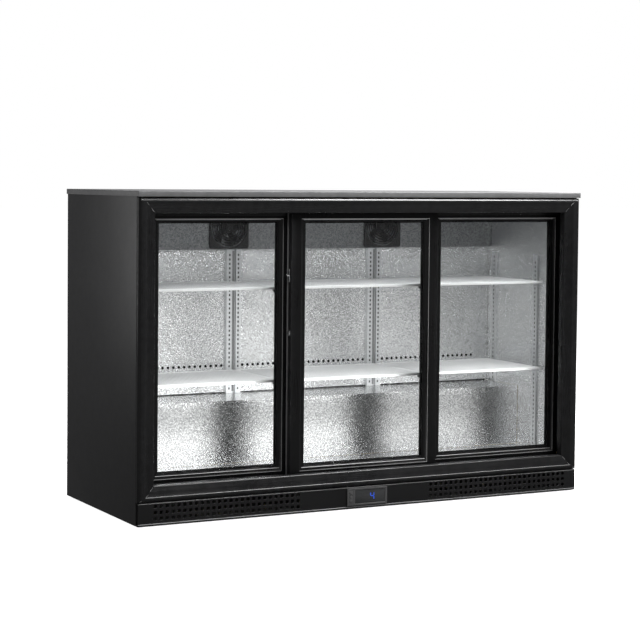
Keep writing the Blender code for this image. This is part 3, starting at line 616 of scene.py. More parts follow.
def surround_profile(face, lip):
    """(inset, depth) points: a rounded nose, a flat face with a fine ridge, a slope and a lip."""
    tilt, high_bend, low_bend, shell = 38, 0.00364, 0.0034, 0.0024
    points = [(0.0, 0.015)]
    points += arc(high_bend, 0.0070, high_bend, -180, -90 - tilt, 5)
    points += arc(0.0079, low_bend, low_bend, -90 - tilt, -90, 5)
    points += [
        (face - 0.0012, 0.0), (face - 0.0006, 0.0004), (face + 0.0006, 0.0008), (face + 0.0014, 0.0012),
        (lip - 0.0170, 0.0030), (lip - 0.0100, 0.0053), (lip - 0.0036, 0.0072),
        (lip - 0.0020, 0.0076), (lip - 0.0008, 0.0084), (lip, 0.0100),
        (lip, 0.0296), (lip - 0.0004, 0.0300), (lip - 0.0016, 0.0300), (lip - 0.0020, 0.0296),
        (lip - 0.0020, 0.0112), (face - 0.0005, shell), (0.0085, shell), (0.0052, 0.0040),
        (shell, 0.0085), (shell, 0.015),
    ]
    return points


def surround():
    """Four mitred extrusions round the doors, with the jamb channels behind the upright ones."""
    outer, front = abs(corners("surround_left")[0]), corners("surround_left")[1]
    low, high = corners("surround_bottom")[2], corners("surround_top")[5]
    flat_across, flat_upright, wide_across, wide_upright = 0.012, 0.022, 0.040, 0.047
    across = surround_profile(flat_across, wide_across)
    upright = surround_profile(flat_upright, wide_upright)

    def mitre(side, height, inwards, gap):
        ends = zip(upright, across)
        return [(side * (outer - u - gap), front + deep, height + inwards * v) for (u, deep), (v, _) in ends]

    for label, height, inwards in (("bottom", low, 1), ("top", high, -1)):
        bm = drawn(loft, [mitre(side, height, inwards, GAP) for side in (-1, 1)])
        piece(f"trim_{label}", bm, ANODISED_X, replaces=(f"surround_{label}",))
    reach = outer - flat_upright
    # A fine ridge along the bottom member, coloured mid grey: a painted highlight line.
    ridge = drawn(bar, "X", -reach, reach, arc(front + 0.0010, low + flat_across, 0.0009, 90, 270, 8))
    piece("trim_ridge_highlight", ridge, HIGHLIGHT_AND_SHADE_GREY)
    band = ((0.0019, 0.0035), (0.0054, 0.00077), (0.0056, 0.0010), (0.0021, 0.00373))
    reach = outer - 0.0045
    nose = drawn(bar, "X", -reach, reach, [(front + deep, high - inset) for inset, deep in band])
    piece("trim_nose", nose, NOSE)
    # Thin mid grey rods along the four mitres: painted highlight lines.
    joints = bmesh.new()
    line = ((0.006, 0.0035, 0.0009), (flat_upright, flat_across, 0.0007), (0.0435, 0.0365, 0.0073))
    for side in (-1, 1):
        for height, inwards in ((low, 1), (high, -1)):
            path = [(side * (outer - a), front + deep, height + inwards * b) for a, b, deep in line]
            tube(joints, path, 0.0005, 6)
    piece("trim_mitre_highlights", joints, HIGHLIGHT_AND_SHADE_GREY)
    channel = (
        (0.046, 0.027), (0.046, 0.029), (0.0195, 0.029), (0.0195, 0.088),
        (0.0465, 0.088), (0.0465, 0.090), (0.0175, 0.090), (0.0175, 0.027),
    )
    ends = low + wide_across + 2 * GAP, high - wide_across - 2 * GAP
    for side, label in SIDES:
        bm = bmesh.new()
        loft(bm, [mitre(side, low + GAP, 1, 0.0), mitre(side, high - GAP, -1, 0.0)])
        bar(bm, "Z", *ends, [(side * (outer - inset), front + deep) for inset, deep in channel])
        piece(f"trim_{label}", bm, ANODISED_Z_SHADED, replaces=(f"surround_{label}",))
    dress("top_track", ANODISED_X, 0.0003)
    dress("bottom_track", ANODISED_X, 0.0003)


# Doors


def picture_frame(bm, front, loops):
    """A closed frame through rectangles of low and high X, low and high Z, and depth."""
    rings = []
    for left, right, low, high, deep in loops:
        outline = ((left, low), (right, low), (right, high), (left, high))
        rings.append([lifted(point, "Y", front + deep) for point in outline])
    loft(bm, rings, looped=True)


def widened(window, share, extra=0.0):
    """The window's rectangle grown by a share of the slope round it."""
    left, right, low, high = window
    side, below, above = (share * reach + extra for reach in (0.014, 0.015, 0.0085))
    return left - side, right + side, low - below, high + above


def door(label):
    """A sliding door: its frame and beads, glass unit, interlock strips and two wheels."""
    body, box = f"{label}_door", corners(f"door_frame_{label}")
    glass = corners(f"door_glass_{label}")
    window = (glass[0] - GAP, glass[3] + GAP, glass[2] - GAP, glass[5] + GAP)
    door_frame(label, body, box, window)
    door_beads(label, body, box[1], window)
    glass_unit(label, body, glass)
    interlock(label, body, box)
    for wheel in ("a", "b"):
        roller(f"{label}_{wheel}")


def door_frame(label, body, box, window):
    """The frame's front is flat with a softened rim, then slopes down to the glass in small steps."""
    x0, y0, z0, x1, y1, z1 = box
    thick = y1 - y0

    def rim(inset, deep):
        return x0 + inset, x1 - inset, z0 + inset, z1 - inset, deep

    loops = [rim(0.0, thick - 0.001), rim(0.0, 0.0016), rim(0.0005, 0.0005), rim(0.0016, 0.0)]
    slope = ((1.0, 0.0), (0.96, 0.0008), (0.40, 0.0032), (0.24, 0.0034), (0.20, 0.0044), (0.0, 0.0052))
    loops += [(*widened(window, share), deep) for share, deep in slope]
    loops += [(*widened(window, 0.0), thick - 0.001), (*widened(window, 0.0, 0.001), thick)]
    loops.append(rim(0.001, thick))
    bm = drawn(picture_frame, y0, loops)
    piece(f"frame_{label}", bm, ANODISED_Z_SHADED, body, (f"door_frame_{label}",))


def door_beads(label, body, front, window):
    """Fine beads round the slope, and a second one along the foot of the slope above and below. The right and
    lower beads are mid grey and the upper ones near white: painted highlights on the dark frame; the left
    bead has the frame's darker finish.
    """
    section = ((0.0014, 0.0004), (0.0012, -0.0002), (0.0006, -0.0004), (0.0, -0.0002), (-0.0002, 0.0004))
    rings = [(widened(window, 1.0, extra), front + deep) for extra, deep in section]
    left, right, below, above = window
    foot = ((0.0062, 0.0016), (0.0068, 0.0010), (0.0080, 0.0010), (0.0084, 0.0030), (0.0062, 0.0030))
    for end, name, finish in ((0, "left", ANODISED_Z_SHADED), (1, "right", HIGHLIGHT_AND_SHADE_GREY)):
        bead = drawn(loft, [[(ring[end], y, ring[level]) for ring, y in rings] for level in (2, 3)])
        piece(f"bead_{name}_{label}", bead, finish, body)
    for level, name, finish, height, up in ((2, "low", HIGHLIGHT_AND_SHADE_GREY, below, -1), (3, "high", BRIGHT_HIGHLIGHT, above, 1)):
        bead = drawn(loft, [[(ring[end], y, ring[level]) for ring, y in rings] for end in (0, 1)])
        bar(bead, "X", left - 0.008, right + 0.008, [(front + deep, height + up * out) for out, deep in foot])
        piece(f"bead_{name}_{label}", bead, finish, body)


def glass_unit(label, body, glass):
    """Two panes and the spacer bar between them."""
    x0, y0, z0, x1, y1, z1 = glass
    panes = bmesh.new()
    for near in (y0, y1 - GLASS_PANE):
        slab(panes, (x0, near, z0), (x1, near + GLASS_PANE, z1), 0.001, 0.0003, "Y")
    piece(f"panes_{label}", panes, GLASS, body, (f"door_glass_{label}",))

    wide = 0.0022
    near, far = GLASS_PANE + GAP, y1 - y0 - GLASS_PANE - GAP
    section = ((0.0, near), (wide, near), (wide, far), (0.0, far))
    spacer = drawn(picture_frame, y0, [(x0 + a, x1 - a, z0 + a, z1 - a, deep) for a, deep in section])
    piece(f"spacer_{label}", spacer, BLACK_RUBBER_AND_SHADE, body)


def interlock(label, body, box):
    """Upright strips where this door meets its neighbours: behind the middle door, beside the others."""
    x0, y0, z0, x1, y1, z1 = box
    strips = bmesh.new()
    if label == "middle":
        sides, out, near = (-1, 1), 0.0032, y1 - 0.0042
    else:
        sides, out, near = ((1,) if label == "left" else (-1,)), 0.0010, y0 + 0.0060
    for side in sides:
        edge = x1 if side > 0 else x0
        low, high = sorted((edge + side * GAP, edge + side * out))
        slab(strips, (low, near, z0 + 0.004), (high, near + 0.0030, z1 - 0.004), 0.0003, 0.0003)
    # The strips are real parts, but their mid grey is a painted highlight line on the dark door edges.
    piece(f"interlock_{label}", strips, HIGHLIGHT_AND_SHADE_GREY, body)


def roller(name):
    """A grooved wheel."""
    node_name = f"roller_{name}"
    x0, y0, z0, x1, y1, z1 = corners(node_name)
    centre = ((x0 + x1) / 2, (y0 + y1) / 2, (z0 + z1) / 2)
    radius, half, bore, edge, groove = (z1 - z0) / 2, (y1 - y0) / 2, 0.0016, 0.0005, 0.0009
    side = [
        (bore, half), (radius - edge, half), (radius, half - edge), (radius, half - 0.0014),
        (radius - groove, 0.0006),
    ]
    wheel = drawn(turned, centre, "Y", [(r, -along) for r, along in side] + side[::-1])
    piece(f"wheel_{name}", wheel, NYLON, node_name, (node_name,))


def lock():
    """The key barrel and the sliding catch on the side of the middle door."""
    _, y0, z0, x1, y1, z1 = corners("lock_barrel")
    y, z = (y0 + y1) / 2, (z0 + z1) / 2
    radius = (z1 - z0) / 2
    profile = (
        (radius, 0.0), (radius, -0.0016), (radius - 0.0008, -0.0026), (radius - 0.0020, -0.0032),
        (radius - 0.0026, -0.0026), (radius - 0.0030, -0.0026), (radius - 0.0034, -0.0030), (0.0002, -0.0030),
    )
    barrel = drawn(turned, (x1, y, z), "X", profile, 36)
    piece("key_barrel", barrel, CHROME, "lock_barrel", ("lock_barrel",))
    # A black bar in the barrel's face stands for the keyway's dark inside: painted shade.
    half_wide, half_tall = 0.0006, 0.0029
    low, high = (x1 - 0.0031, y - half_wide, z - half_tall), (x1 - 0.0012, y + half_wide, z + half_tall)
    piece("key_slot_shade", drawn(slab, low, high, 0.0005, 0.0001, "X"), BLACK_RUBBER_AND_SHADE, "lock_barrel")

    _, y0, z0, x1, y1, z1 = corners("lock_catch")
    y, z = (y0 + y1) / 2, (z0 + z1) / 2
    half_wide = 0.0030
    knob = (
        (0.0040, 0.0), (0.0030, -0.0012), (0.0026, -0.0040), (0.0036, -0.0058), (0.0036, -0.0070),
        (0.0028, -0.0077), (0.0002, -0.0077),
    )
    catch = bmesh.new()
    slab(catch, (x1 - 0.0022, y - half_wide, z0), (x1, y + half_wide, z1), 0.0028, 0.0006, "X")
    turned(catch, (x1 - 0.0018, y, z), "X", knob, 24)
    piece("catch_slider", catch, CHROME, "lock_catch", ("lock_catch",))


# Compartment


def liner():
    """The embossed walls, floor and ceiling, and the step over the machine space."""
    for label in ("back", "ceiling", "floor"):
        dress(f"liner_{label}", STUCCO)
    dress("compressor_step", STUCCO_STEP, 0.0008)
    # The evaporator cover gets the darker stucco copy: painted shade.
    dress("evaporator_cover", STUCCO_SHADED, 0.0004)
    for side, label in SIDES:
        liner_side(side, label)


def liner_side(side, label):
    """A side wall, stepped over the machine space, with two pierced shelf strips and their clips."""
    name = f"liner_{label}"
    x0, y0, z0, x1, y1, z1 = corners(name)
    wall = max(abs(x0), abs(x1)) - SHEET
    _, step_front, _, _, _, step_top = corners("compressor_step")
    outline = ((y0, z0), (step_front, z0), (step_front, step_top), (y1, step_top), (y1, z1), (y0, z1))
    sheet = drawn(bar, "X", side * wall, side * (wall + SHEET), outline)
    piece(f"wall_{label}", sheet, STUCCO, replaces=(name,))

    strips, shade, clips = bmesh.new(), bmesh.new(), bmesh.new()
    for middle, low in ((-0.115, corners("liner_floor")[5]), (0.102, step_top)):
        strip(strips, shade, side, wall, middle, low + 0.001, 0.668)
        for level in LEVELS:
            top = corners(f"shelf_{level}_{label}")[2] - GAP
            wedge(clips, "Y", middle, 0.0055, side * (wall - 0.0042), -side * 0.014, top, 0.0025, 0.010)
    piece(f"wall_strips_{label}", strips, ALUMINIUM)
    piece(f"wall_shade_{label}", shade, PAINTED_SHADE)
    piece(f"wall_clips_{label}", clips, ALUMINIUM)


def slot_rows(low, high, first, rows):
    """The levels of an upright's grid: its ends, and the two edges of every slot."""
    levels = [low]
    for i in range(rows):
        start = low + first + i * SLOT_PITCH
        levels += [start, start + SLOT_TALL]
    return levels + [high]


def strip(bm, shade, side, wall, middle, low, high):
    """An upright with one column of slots, standing 4 mm off the wall on two folded edges."""
    half, slot, skin = 0.011, 0.0026, 0.001
    proud = wall - 0.004
    up = slot_rows(low, high, 0.008, int((high - low - 0.010) / SLOT_PITCH))

    def opening(i, j):
        return 0 if i == 1 and j % 2 == 1 else None

    turn = Matrix.Rotation(radians(-90 * side), 4, "Z")
    place = Matrix.Translation((side * proud, middle, 0)) @ turn
    pierced(bm, (-half, -slot, slot, half), up, opening, skin, place)
    near, far = sorted((side * (proud + 0.0016), side * (proud + 0.0024)))
    inner = half - 0.0016
    # A dark sheet behind the column of slots, so they look dark: painted shade.
    block(shade, (near, middle - inner, low + 0.004), (far, middle + inner, high - 0.004))
    near, far = sorted((side * (proud + 0.0011), side * (wall - 0.0001)))
    for edge in (-1, 1):
        left, right = sorted((middle + edge * half, middle + edge * (half - skin)))
        block(bm, (near, left, low), (far, right, high))


def duct():
    """The false back wall with its row of round return air holes."""
    x0, y0, z0, x1, y1, z1 = corners("duct_panel")
    radius, count, height = 0.0040, 71, 0.358
    across = [x0] + [(i - count / 2) * HOLE_PITCH for i in range(count + 1)] + [x1]
    up = (z0, height - HOLE_PITCH / 2, height + HOLE_PITCH / 2, z1)
    post_low, _, _, post_high, _, _ = corners("back_pilaster_right")
    clear = (post_high - post_low) / 2 + 0.0055

    def opening(i, j):
        if j != 1 or i == 0 or i == count + 1:
            return None
        middle = (across[i] + across[i + 1]) / 2
        return radius if abs(abs(middle) - (post_high + post_low) / 2) > clear else None

    wall = drawn(pierced, across, up, opening, y1 - y0, Matrix.Translation((0, y0, 0)))
    piece("duct_wall", wall, STUCCO, replaces=("duct_panel",))

    # A black strip behind the row of holes, so they look dark: painted shade.
    shade = drawn(block, (x0 + 0.02, y1 + 0.0030, height - 0.012), (x1 - 0.02, y1 + 0.0040, height + 0.012))
    piece("duct_hole_shade", shade, BLACK_RUBBER_AND_SHADE)
    seal = drawn(block, (x0 + 0.006, y0 - 0.0012, z0 + 0.0004), (x1 - 0.006, y0 - 0.0003, z0 + 0.0026))
    piece("duct_seal", seal, BLACK_RUBBER_AND_SHADE)


def pilaster(label):
    """A back upright: two pierced flanges either side of a sunken channel, with shelf brackets."""
    name = f"back_pilaster_{label}"
    x0, _, z0, x1, y1, z1 = corners(name)
    middle, half = (x0 + x1) / 2, (x1 - x0) / 2
    front = y1 - 0.0092
    channel, slot, column, skin = 0.0060, 0.0024, 0.0134, 0.001
    up = slot_rows(z0, z1, 0.010, round((z1 - z0 - 0.016) / SLOT_PITCH))
    across = (-half, -column - slot, -column + slot, -channel, channel, column - slot, column + slot, half)

    def opening(i, j):
        return 0 if i == 3 or i in (1, 5) and j % 2 == 1 else None

    bm = bmesh.new()
    pierced(bm, across, up, opening, skin, Matrix.Translation((middle, front, 0)))
    outer = channel + 0.0008
    near, far = front + 0.0011, y1 - 0.0002
    trough = [
        (-channel, front + 0.0002), (-channel, far - skin), (channel, far - skin), (channel, front + 0.0002),
        (outer, near), (outer, far), (-outer, far), (-outer, near),
    ]
    bar(bm, "Z", z0, z1, [(middle + u, y) for u, y in trough])
    shade = bmesh.new()
    for edge in (-1, 1):
        low, high = sorted((middle + edge * half, middle + edge * (half - skin)))
        block(bm, (low, near, z0), (high, y1, z1))
        # A dark sheet behind each pierced flange, so its slots look dark: painted shade.
        low, high = sorted((middle + edge * (channel + 0.0016), middle + edge * (half - 0.0016)))
        block(shade, (low, front + 0.0014, z0 + 0.004), (high, front + 0.0020, z1 - 0.004))
    piece(f"upright_{label}", bm, ALUMINIUM, replaces=(name,))
    piece(f"upright_shade_{label}", shade, PAINTED_SHADE)
    # A mid grey strip down the sunken channel: painted shade in the recess.
    inner, end = 0.0040, 0.004
    low, high = (middle - inner, y1 - 0.0020, z0 + end), (middle + inner, y1 - 0.0014, z1 - end)
    back = drawn(block, low, high)
    piece(f"upright_channel_shade_{label}", back, HIGHLIGHT_AND_SHADE_GREY)

    brackets = bmesh.new()
    for level in LEVELS:
        top = corners(f"shelf_{level}_left")[2] - GAP
        for side in (-1, 1):
            wedge(brackets, "X", middle + side * column, 0.0035, front, -0.018, top, 0.0025, 0.012)
    piece(f"upright_clips_{label}", brackets, ALUMINIUM)


def post(label):
    """A slim post behind the doors, with a wedge bracket under each shelf corner."""
    name = f"front_post_{label}"
    x0, y0, z0, x1, _, z1 = corners(name)
    middle = (x0 + x1) / 2
    half, back = 0.011, y0 + 0.0075
    bm = bmesh.new()
    slab(bm, (middle - half, y0, z0), (middle + half, back, z1), 0.0015, 0.0004)
    for level in LEVELS:
        top = corners(f"shelf_{level}_left")[2] - GAP
        wedge(bm, "X", middle, 0.013, back - 0.0005, 0.0225, top, 0.003, 0.016)
    piece(f"post_{label}", bm, PLASTIC, replaces=(name,), bevel=0.0004)


def shelf(level, label):
    """A coated wire shelf: a front rail, a border, cross bars below and close wires front to back."""
    name = f"shelf_{level}_{label}"
    x0, y0, z0, x1, y1, z1 = corners(name)
    wire, rim, pitch, front = 0.0018, 0.0025, 0.0125, y0 + 0.0030
    left, right, back, border = x0 + rim, x1 - rim, y1 - rim, z1 - rim
    bm = bmesh.new()
    slab(bm, (x0, y0, z0 - 0.0002), (x1, y0 + 0.0032, z1 + 0.0006), 0.0014, 0.0006)
    for x in (left, right):
        tube(bm, ((x, front, border), (x, back, border)), rim, 10)
    tube(bm, ((left, back, border), (right, back, border)), rim, 10)
    for y in (y0 + (y1 - y0) * share for share in (0.30, 0.62)):
        tube(bm, ((left, y, z1 - 0.0046), (right, y, z1 - 0.0046)), 0.0016)
    span = x1 - x0 - 4 * rim
    count = round(span / pitch)
    for i in range(1, count):
        x = x0 + 2 * rim + span * i / count
        tube(bm, ((x, front, z1 - wire), (x, back, z1 - wire)), wire)
    piece(f"wire_{name}", bm, WIRE, replaces=(name,))


# Cold air


def fan_guard(label):
    """A square moulded guard with fine concentric rings on four spokes, and its four screws."""
    name = f"fan_guard_{label}"
    x0, y0, z0, x1, y1, z1 = corners(name)
    x, z, half = (x0 + x1) / 2, (z0 + z1) / 2, (x1 - x0) / 2
    outer = rounded(half, half, 0.006, 11)
    inner = circle(0.0, 0.0, 0.0565, 48, 360 / 48 / 2)
    rings = []
    for outline, share, y in (
        (outer, 1.0, y1), (outer, 1.0, y0 + 0.0026), (outer, 0.985, y0 + 0.0016),
        (inner, 1.03, y0 + 0.0016), (inner, 1.0, y0 + 0.0022), (inner, 1.0, y1),
    ):
        rings.append([(x + u * share, y, z + v * share) for u, v in outline])
    bm = bmesh.new()
    loft(bm, rings, looped=True)
    for i in range(7):
        hoop(bm, (x, y0 + 0.0022, z), 0.0085 + i * 0.0072, 0.0013, 56)
    cap = ((0.0040, 0.0), (0.0062, 0.0006), (0.0062, 0.0026), (0.0040, 0.0030))
    turned(bm, (x, y0 + 0.0008, z), "Y", cap, 24)
    for across, up in circle(0.0, 0.0, 1.0, 4, 45):
        tube(bm, [(x + r * across, y0 + 0.0034, z + r * up) for r in (0.005, 0.058)], 0.0015)
    for u in (-0.052, 0.052):
        for v in (-0.052, 0.052):
            turned(bm, (x + u, y0, z + v), "Y", ((0.0020, 0.0006), (0.0036, 0.0002), (0.0042, 0.0020)), 16)
    piece(f"guard_{label}", bm, PLASTIC, replaces=(name,))


def rotor(name, hub, new_name):
    """An axial fan rotor: a domed hub and five twisted blades. The node and its body share a name."""
    x0, y0, z0, x1, y1, z1 = corners(name)
    centre = Vector(((x0 + x1) / 2, (y0 + y1) / 2, (z0 + z1) / 2))
    reach = min(x1 - x0, z1 - z0) / 2 - 0.001
    half = (y1 - y0) / 2 * 0.62
    blades = 5
    dome = ((0.2, -1.0), (0.75, -0.94), (1.0, -0.6), (1.0, 0.9), (0.9, 1.0))
    bm = bmesh.new()
    turned(bm, centre, "Y", [(hub * out, half * along) for out, along in dome], 40)
    for i in range(blades):
        blade(bm, centre, hub * 0.9, reach, half * 1.5, 2 * pi * i / blades)
    piece(new_name, bm, PLASTIC, name, (name,))


def blade(bm, centre, root, reach, limit, start):
    """One blade: a curved sheet, twisted from its root to its tip."""
    steps, skin = 6, 0.0007
    grid = []
    for share in (i / steps for i in range(steps + 1)):
        r = root + (reach - root) * share
        pitch = radians(44 - 20 * share)
        chord = reach * (0.50 + 0.30 * share)
        row = []
        for k in range(steps + 1):
            along = (k / steps - 0.5) * chord
            camber = 0.06 * chord * (1 - (2 * k / steps - 1) ** 2)
            y = along * sin(pitch) * 0.8 + camber
            angle = start + along * cos(pitch) / r + 0.25 * share
            row.append((r * cos(angle), max(-limit, min(limit, y)), r * sin(angle)))
        grid.append(row)
    front, back = (
        [[bm.verts.new(centre + Vector((u, y + lift, v))) for u, y, v in row] for row in grid]
        for lift in (-skin, skin)
    )
    for layer in (front, back):
        for i in range(steps):
            for k in range(steps):
                bm.faces.new((layer[i][k], layer[i][k + 1], layer[i + 1][k + 1], layer[i + 1][k]))
    rim = [(0, k) for k in range(steps)] + [(i, steps) for i in range(steps)]
    rim += [(steps, k) for k in range(steps, 0, -1)] + [(i, 0) for i in range(steps, 0, -1)]
    for (a, b), (c, d) in zip(rim, rim[1:] + rim[:1]):
        bm.faces.new((front[a][b], front[c][d], back[c][d], back[a][b]))


def cold_air():
    """The evaporator's fans and coil, and the lamp."""
    for _, label in SIDES:
        fan_guard(label)
        rotor(f"fan_rotor_{label}", 0.018, f"rotor_{label}")
    dress("evaporator_coil", FINS)
    x0, y0, z0, x1, y1, z1 = corners("led_strip")
    half, middle, skin = (y1 - y0) / 2, (y0 + y1) / 2, 0.0012
    low = z0 + 0.002
    outline = (
        (-half, low), (-half, z1), (half, z1), (half, low),
        (half - skin, low), (half - skin, z1 - skin), (-half + skin, z1 - skin), (-half + skin, low),
    )
    channel = drawn(bar, "X", x0, x1, [(middle + y, z) for y, z in outline])
    piece("led_channel", channel, ALUMINIUM)
    wide, dome = half - 0.0016, 0.0042
    outline = arc(middle, z0 + dome, wide, 0, -180, 10, dome)
    outline += [(middle - wide, z1 - 0.0016), (middle + wide, z1 - 0.0016)]
    lens = drawn(bar, "X", x0 + 0.001, x1 - 0.001, outline)
    piece("led_lens", lens, LED, replaces=("led_strip",))


# Machine space and plinth


def machine():
    """The compressor, the condenser and its fan."""
    x0, y0, floor, x1, y1, _ = corners("compressor")
    half = 0.090
    x, y = x1 - half, (y0 + y1) / 2
    can = (
        (0.045, 0.0042), (0.058, 0.012), (0.066, 0.030), (0.071, 0.048), (0.0725, 0.060), (0.0735, 0.080),
        (0.0735, 0.084), (0.0722, 0.088), (0.0720, 0.105), (0.069, 0.128), (0.061, 0.148), (0.048, 0.163),
        (0.030, 0.173), (0.012, 0.178), (0.002, 0.1785),
    )
    bolt = ((0.009, 0.0), (0.009, 0.003), (0.006, 0.006), (0.002, 0.007))
    bm = bmesh.new()
    slab(bm, (x - half, y0, floor), (x + half, y1, floor + 0.004), 0.012, 0.0008)
    turned(bm, (x, y, floor), "Z", can, 48)
    slab(bm, (x0, y - 0.025, floor + 0.060), (x - 0.068, y + 0.025, floor + 0.110), 0.004, 0.0012, "X")
    for u in (-0.074, 0.074):
        for v in (-0.054, 0.054):
            turned(bm, (x + u, y + v, floor + 0.0042), "Z", bolt, 20)
    piece("compressor_can", bm, COMPRESSOR, replaces=("compressor",))
    dress("condenser_coil", FINS)
    rotor("condenser_fan_rotor", 0.026, "rotor_condenser")


def plinth():
    """The folded plinth: rows of square holes and the display's cutout, with two fine beads."""
    x0, y0, z0, x1, _, z1 = corners("plinth_grille")
    left, _, low, right, _, high = corners("controller_bezel")
    half, thick, rim = 0.00425, 0.0015, 0.003
    left, low, right, high = left + rim, low + rim, right - rim, high - rim
    columns = [-0.622 + i * HOLE_PITCH for i in range(26)] + [0.1905 + i * HOLE_PITCH for i in range(28)]
    rows = [0.0209 + i * 0.0158 for i in range(3)]
    across = sorted([x0, x1, left, right] + [x + side * half for x in columns for side in (-1, 1)])
    levels = sorted([z0, z1, low, high] + [z + side * half for z in rows for side in (-1, 1)])

    def opening(i, j):
        x, z = (across[i] + across[i + 1]) / 2, (levels[j] + levels[j + 1]) / 2
        if left < x < right:
            return 0 if low < z < high else None
        in_column = any(abs(x - column) < half for column in columns)
        return 0 if in_column and any(abs(z - row) < half for row in rows) else None

    bm = bmesh.new()
    pierced(bm, across, levels, opening, thick, Matrix.Translation((0, y0, 0)))
    near, far = y0 + thick, y0 + 0.011
    bar(bm, "X", x0, x1, ((near, z1 - thick), (near, z1), (far, z1), (far, z1 - thick)))
    bar(bm, "X", x0, x1, ((near, z0), (near, z0 + thick), (far, z0 + thick), (far, z0)))
    lip = corners("base_pan")[5] + 0.0025
    block(bm, (x0, far - thick, z0 + thick), (x1, far, lip))
    # The plinth's darker enamel copy is painted shade.
    piece("plinth", bm, ENAMEL_FLAT_SHADED, replaces=("plinth_grille",), bevel=0.0005)

    # Two fine beads along the plinth, coloured mid grey: painted highlight lines.
    bead = bmesh.new()
    for radius, height in ((0.0009, z0 + 0.0050), (0.0006, z1 - 0.0022)):
        tall, back = 1.4 * radius, y0 + 0.0006
        outline = arc(y0 + 0.0003, height, radius, 90, 270, 8, tall)
        outline += [(back, height - tall), (back, height + tall)]
        bar(bead, "X", x0 + 0.0005, x1 - 0.0005, outline)
    piece("plinth_bead_highlights", bead, HIGHLIGHT_AND_SHADE_GREY)


SEGMENTS = {"top": (0, 1), "upper_left": (-1, 0.5), "upper_right": (1, 0.5), "middle": (0, 0),
            "lower_left": (-1, -0.5), "lower_right": (1, -0.5), "bottom": (0, -1)}
LIT = ("upper_left", "upper_right", "middle", "lower_right")


def segment(bm, x, z, length, width, upright, near, far):
    """A bar of the digit with pointed ends."""
    half, point = length / 2, width / 2
    flat = half - point
    outline = ((-half, 0), (-flat, -point), (flat, -point), (half, 0), (flat, point), (-flat, point))
    if upright:
        outline = [(v, u) for u, v in outline]
    bar(bm, "Y", near, far, [(x + u, z + v) for u, v in outline])


def controller():
    """The display module: bezel, smoked window, one lit digit and three keys."""
    dress("controller_bezel", BEZEL, 0.0005)
    x0, y0, z0, x1, y1, z1 = corners("controller_display")
    window = drawn(slab, (x0, y0, z0), (x1, y1, z1), 0.0020, 0.0004, "Y")
    piece("display_window", window, WINDOW, replaces=("controller_display",))
    lit, dim = bmesh.new(), bmesh.new()
    middle_x, middle_z = 0.0055, (z0 + z1) / 2
    wide, tall, thick = 0.0050, 0.0096, 0.0026
    for name, (u, v) in SEGMENTS.items():
        upright = u != 0
        length = tall * 0.93 if upright else wide * 1.86
        target, place = lit if name in LIT else dim, (middle_x + u * wide, middle_z + v * tall)
        segment(target, *place, length, thick, upright, y0 - 0.0002, y0 + 0.0004)
    piece("digit_lit", lit, DIGIT)
    piece("digit_dim", dim, WINDOW)
    for i in (1, 2, 3):
        name = f"controller_button_{i}"
        x0, y0, z0, x1, y1, z1 = corners(name)
        key = drawn(slab, (x0, y0, z0), (x1, y1, z1), 0.0018, 0.0005, "Y")
        piece(f"key_{i}", key, BEZEL, name, (name,))


# Stage


def area_light(name, place, target, size, power, colour=WHITE[:3]):
    """A soft rectangular light that the camera doesn't see."""
    data = bpy.data.lights.new(name, "AREA")
    data.shape = "RECTANGLE"
    data.size, data.size_y = size
    data.energy = power
    data.color = colour
    light = bpy.data.objects.new(name, data)
    light.location = place
    light.rotation_euler = (Vector(target) - Vector(place)).to_track_quat("-Z", "Y").to_euler()
    light.visible_camera = False
    bpy.context.scene.collection.objects.link(light)


def seen_directly(tree, indirect, direct):
    """One shader for what is reflected or lit, another for what is looked at."""
    seen = node(tree, "ShaderNodeLightPath").outputs["Is Camera Ray"]
    return node(tree, "ShaderNodeMixShader", {"Fac": seen, 1: indirect.outputs[0], 2: direct.outputs[0]})


def floor():
    """A pale floor that glows slightly."""
    reach = 40.0
    bm = bmesh.new()
    block(bm, (-reach, -reach, -0.05), (reach, reach, 0.0))
    mesh = bpy.data.meshes.new("floor")
    bm.to_mesh(mesh)
    bm.free()
    plane = bpy.data.objects.new("floor", mesh)
    bpy.context.scene.collection.objects.link(plane)
    pale = bpy.data.materials.new("floor_pale")
    pale.use_nodes = True
    tree, shader = shader_of(pale)
    tone = ramp(tree, noise(tree, coordinates(tree), 0.8, 2.0), (0.86, 0.86, 0.86), (0.90, 0.90, 0.90))
    feed(tree, shader, {"Base Color": tone, "Roughness": 0.9, "Specular IOR Level": 0.0})
    glow = node(tree, "ShaderNodeEmission", {"Color": WHITE, "Strength": 0.96}).outputs[0]
    lit = node(tree, "ShaderNodeAddShader", {0: shader.outputs["BSDF"], 1: glow})
    depth = node(tree, "ShaderNodeSeparateXYZ", {"Vector": coordinates(tree)}).outputs["Y"]
    strength = between(tree, depth, FLOOR_GLOW_FRONT, FLOOR_GLOW_BACK, -0.9, -0.2)
    pool = node(tree, "ShaderNodeEmission", {"Color": WHITE, "Strength": strength})
    show(tree, seen_directly(tree, pool, lit))
    mesh.materials.append(pale)


def room():
    """A white room that gives a weak, even light."""
    world = bpy.data.worlds.new("room")
    bpy.context.scene.world = world
    world.use_nodes = True
    tree = world.node_tree
    background = tree.nodes["Background"]
    feed(tree, background, {"Color": WHITE, "Strength": 0.105})
    white = node(tree, "ShaderNodeBackground", {"Color": WHITE, "Strength": 1.0})
    show(tree, seen_directly(tree, background, white), "World Output")


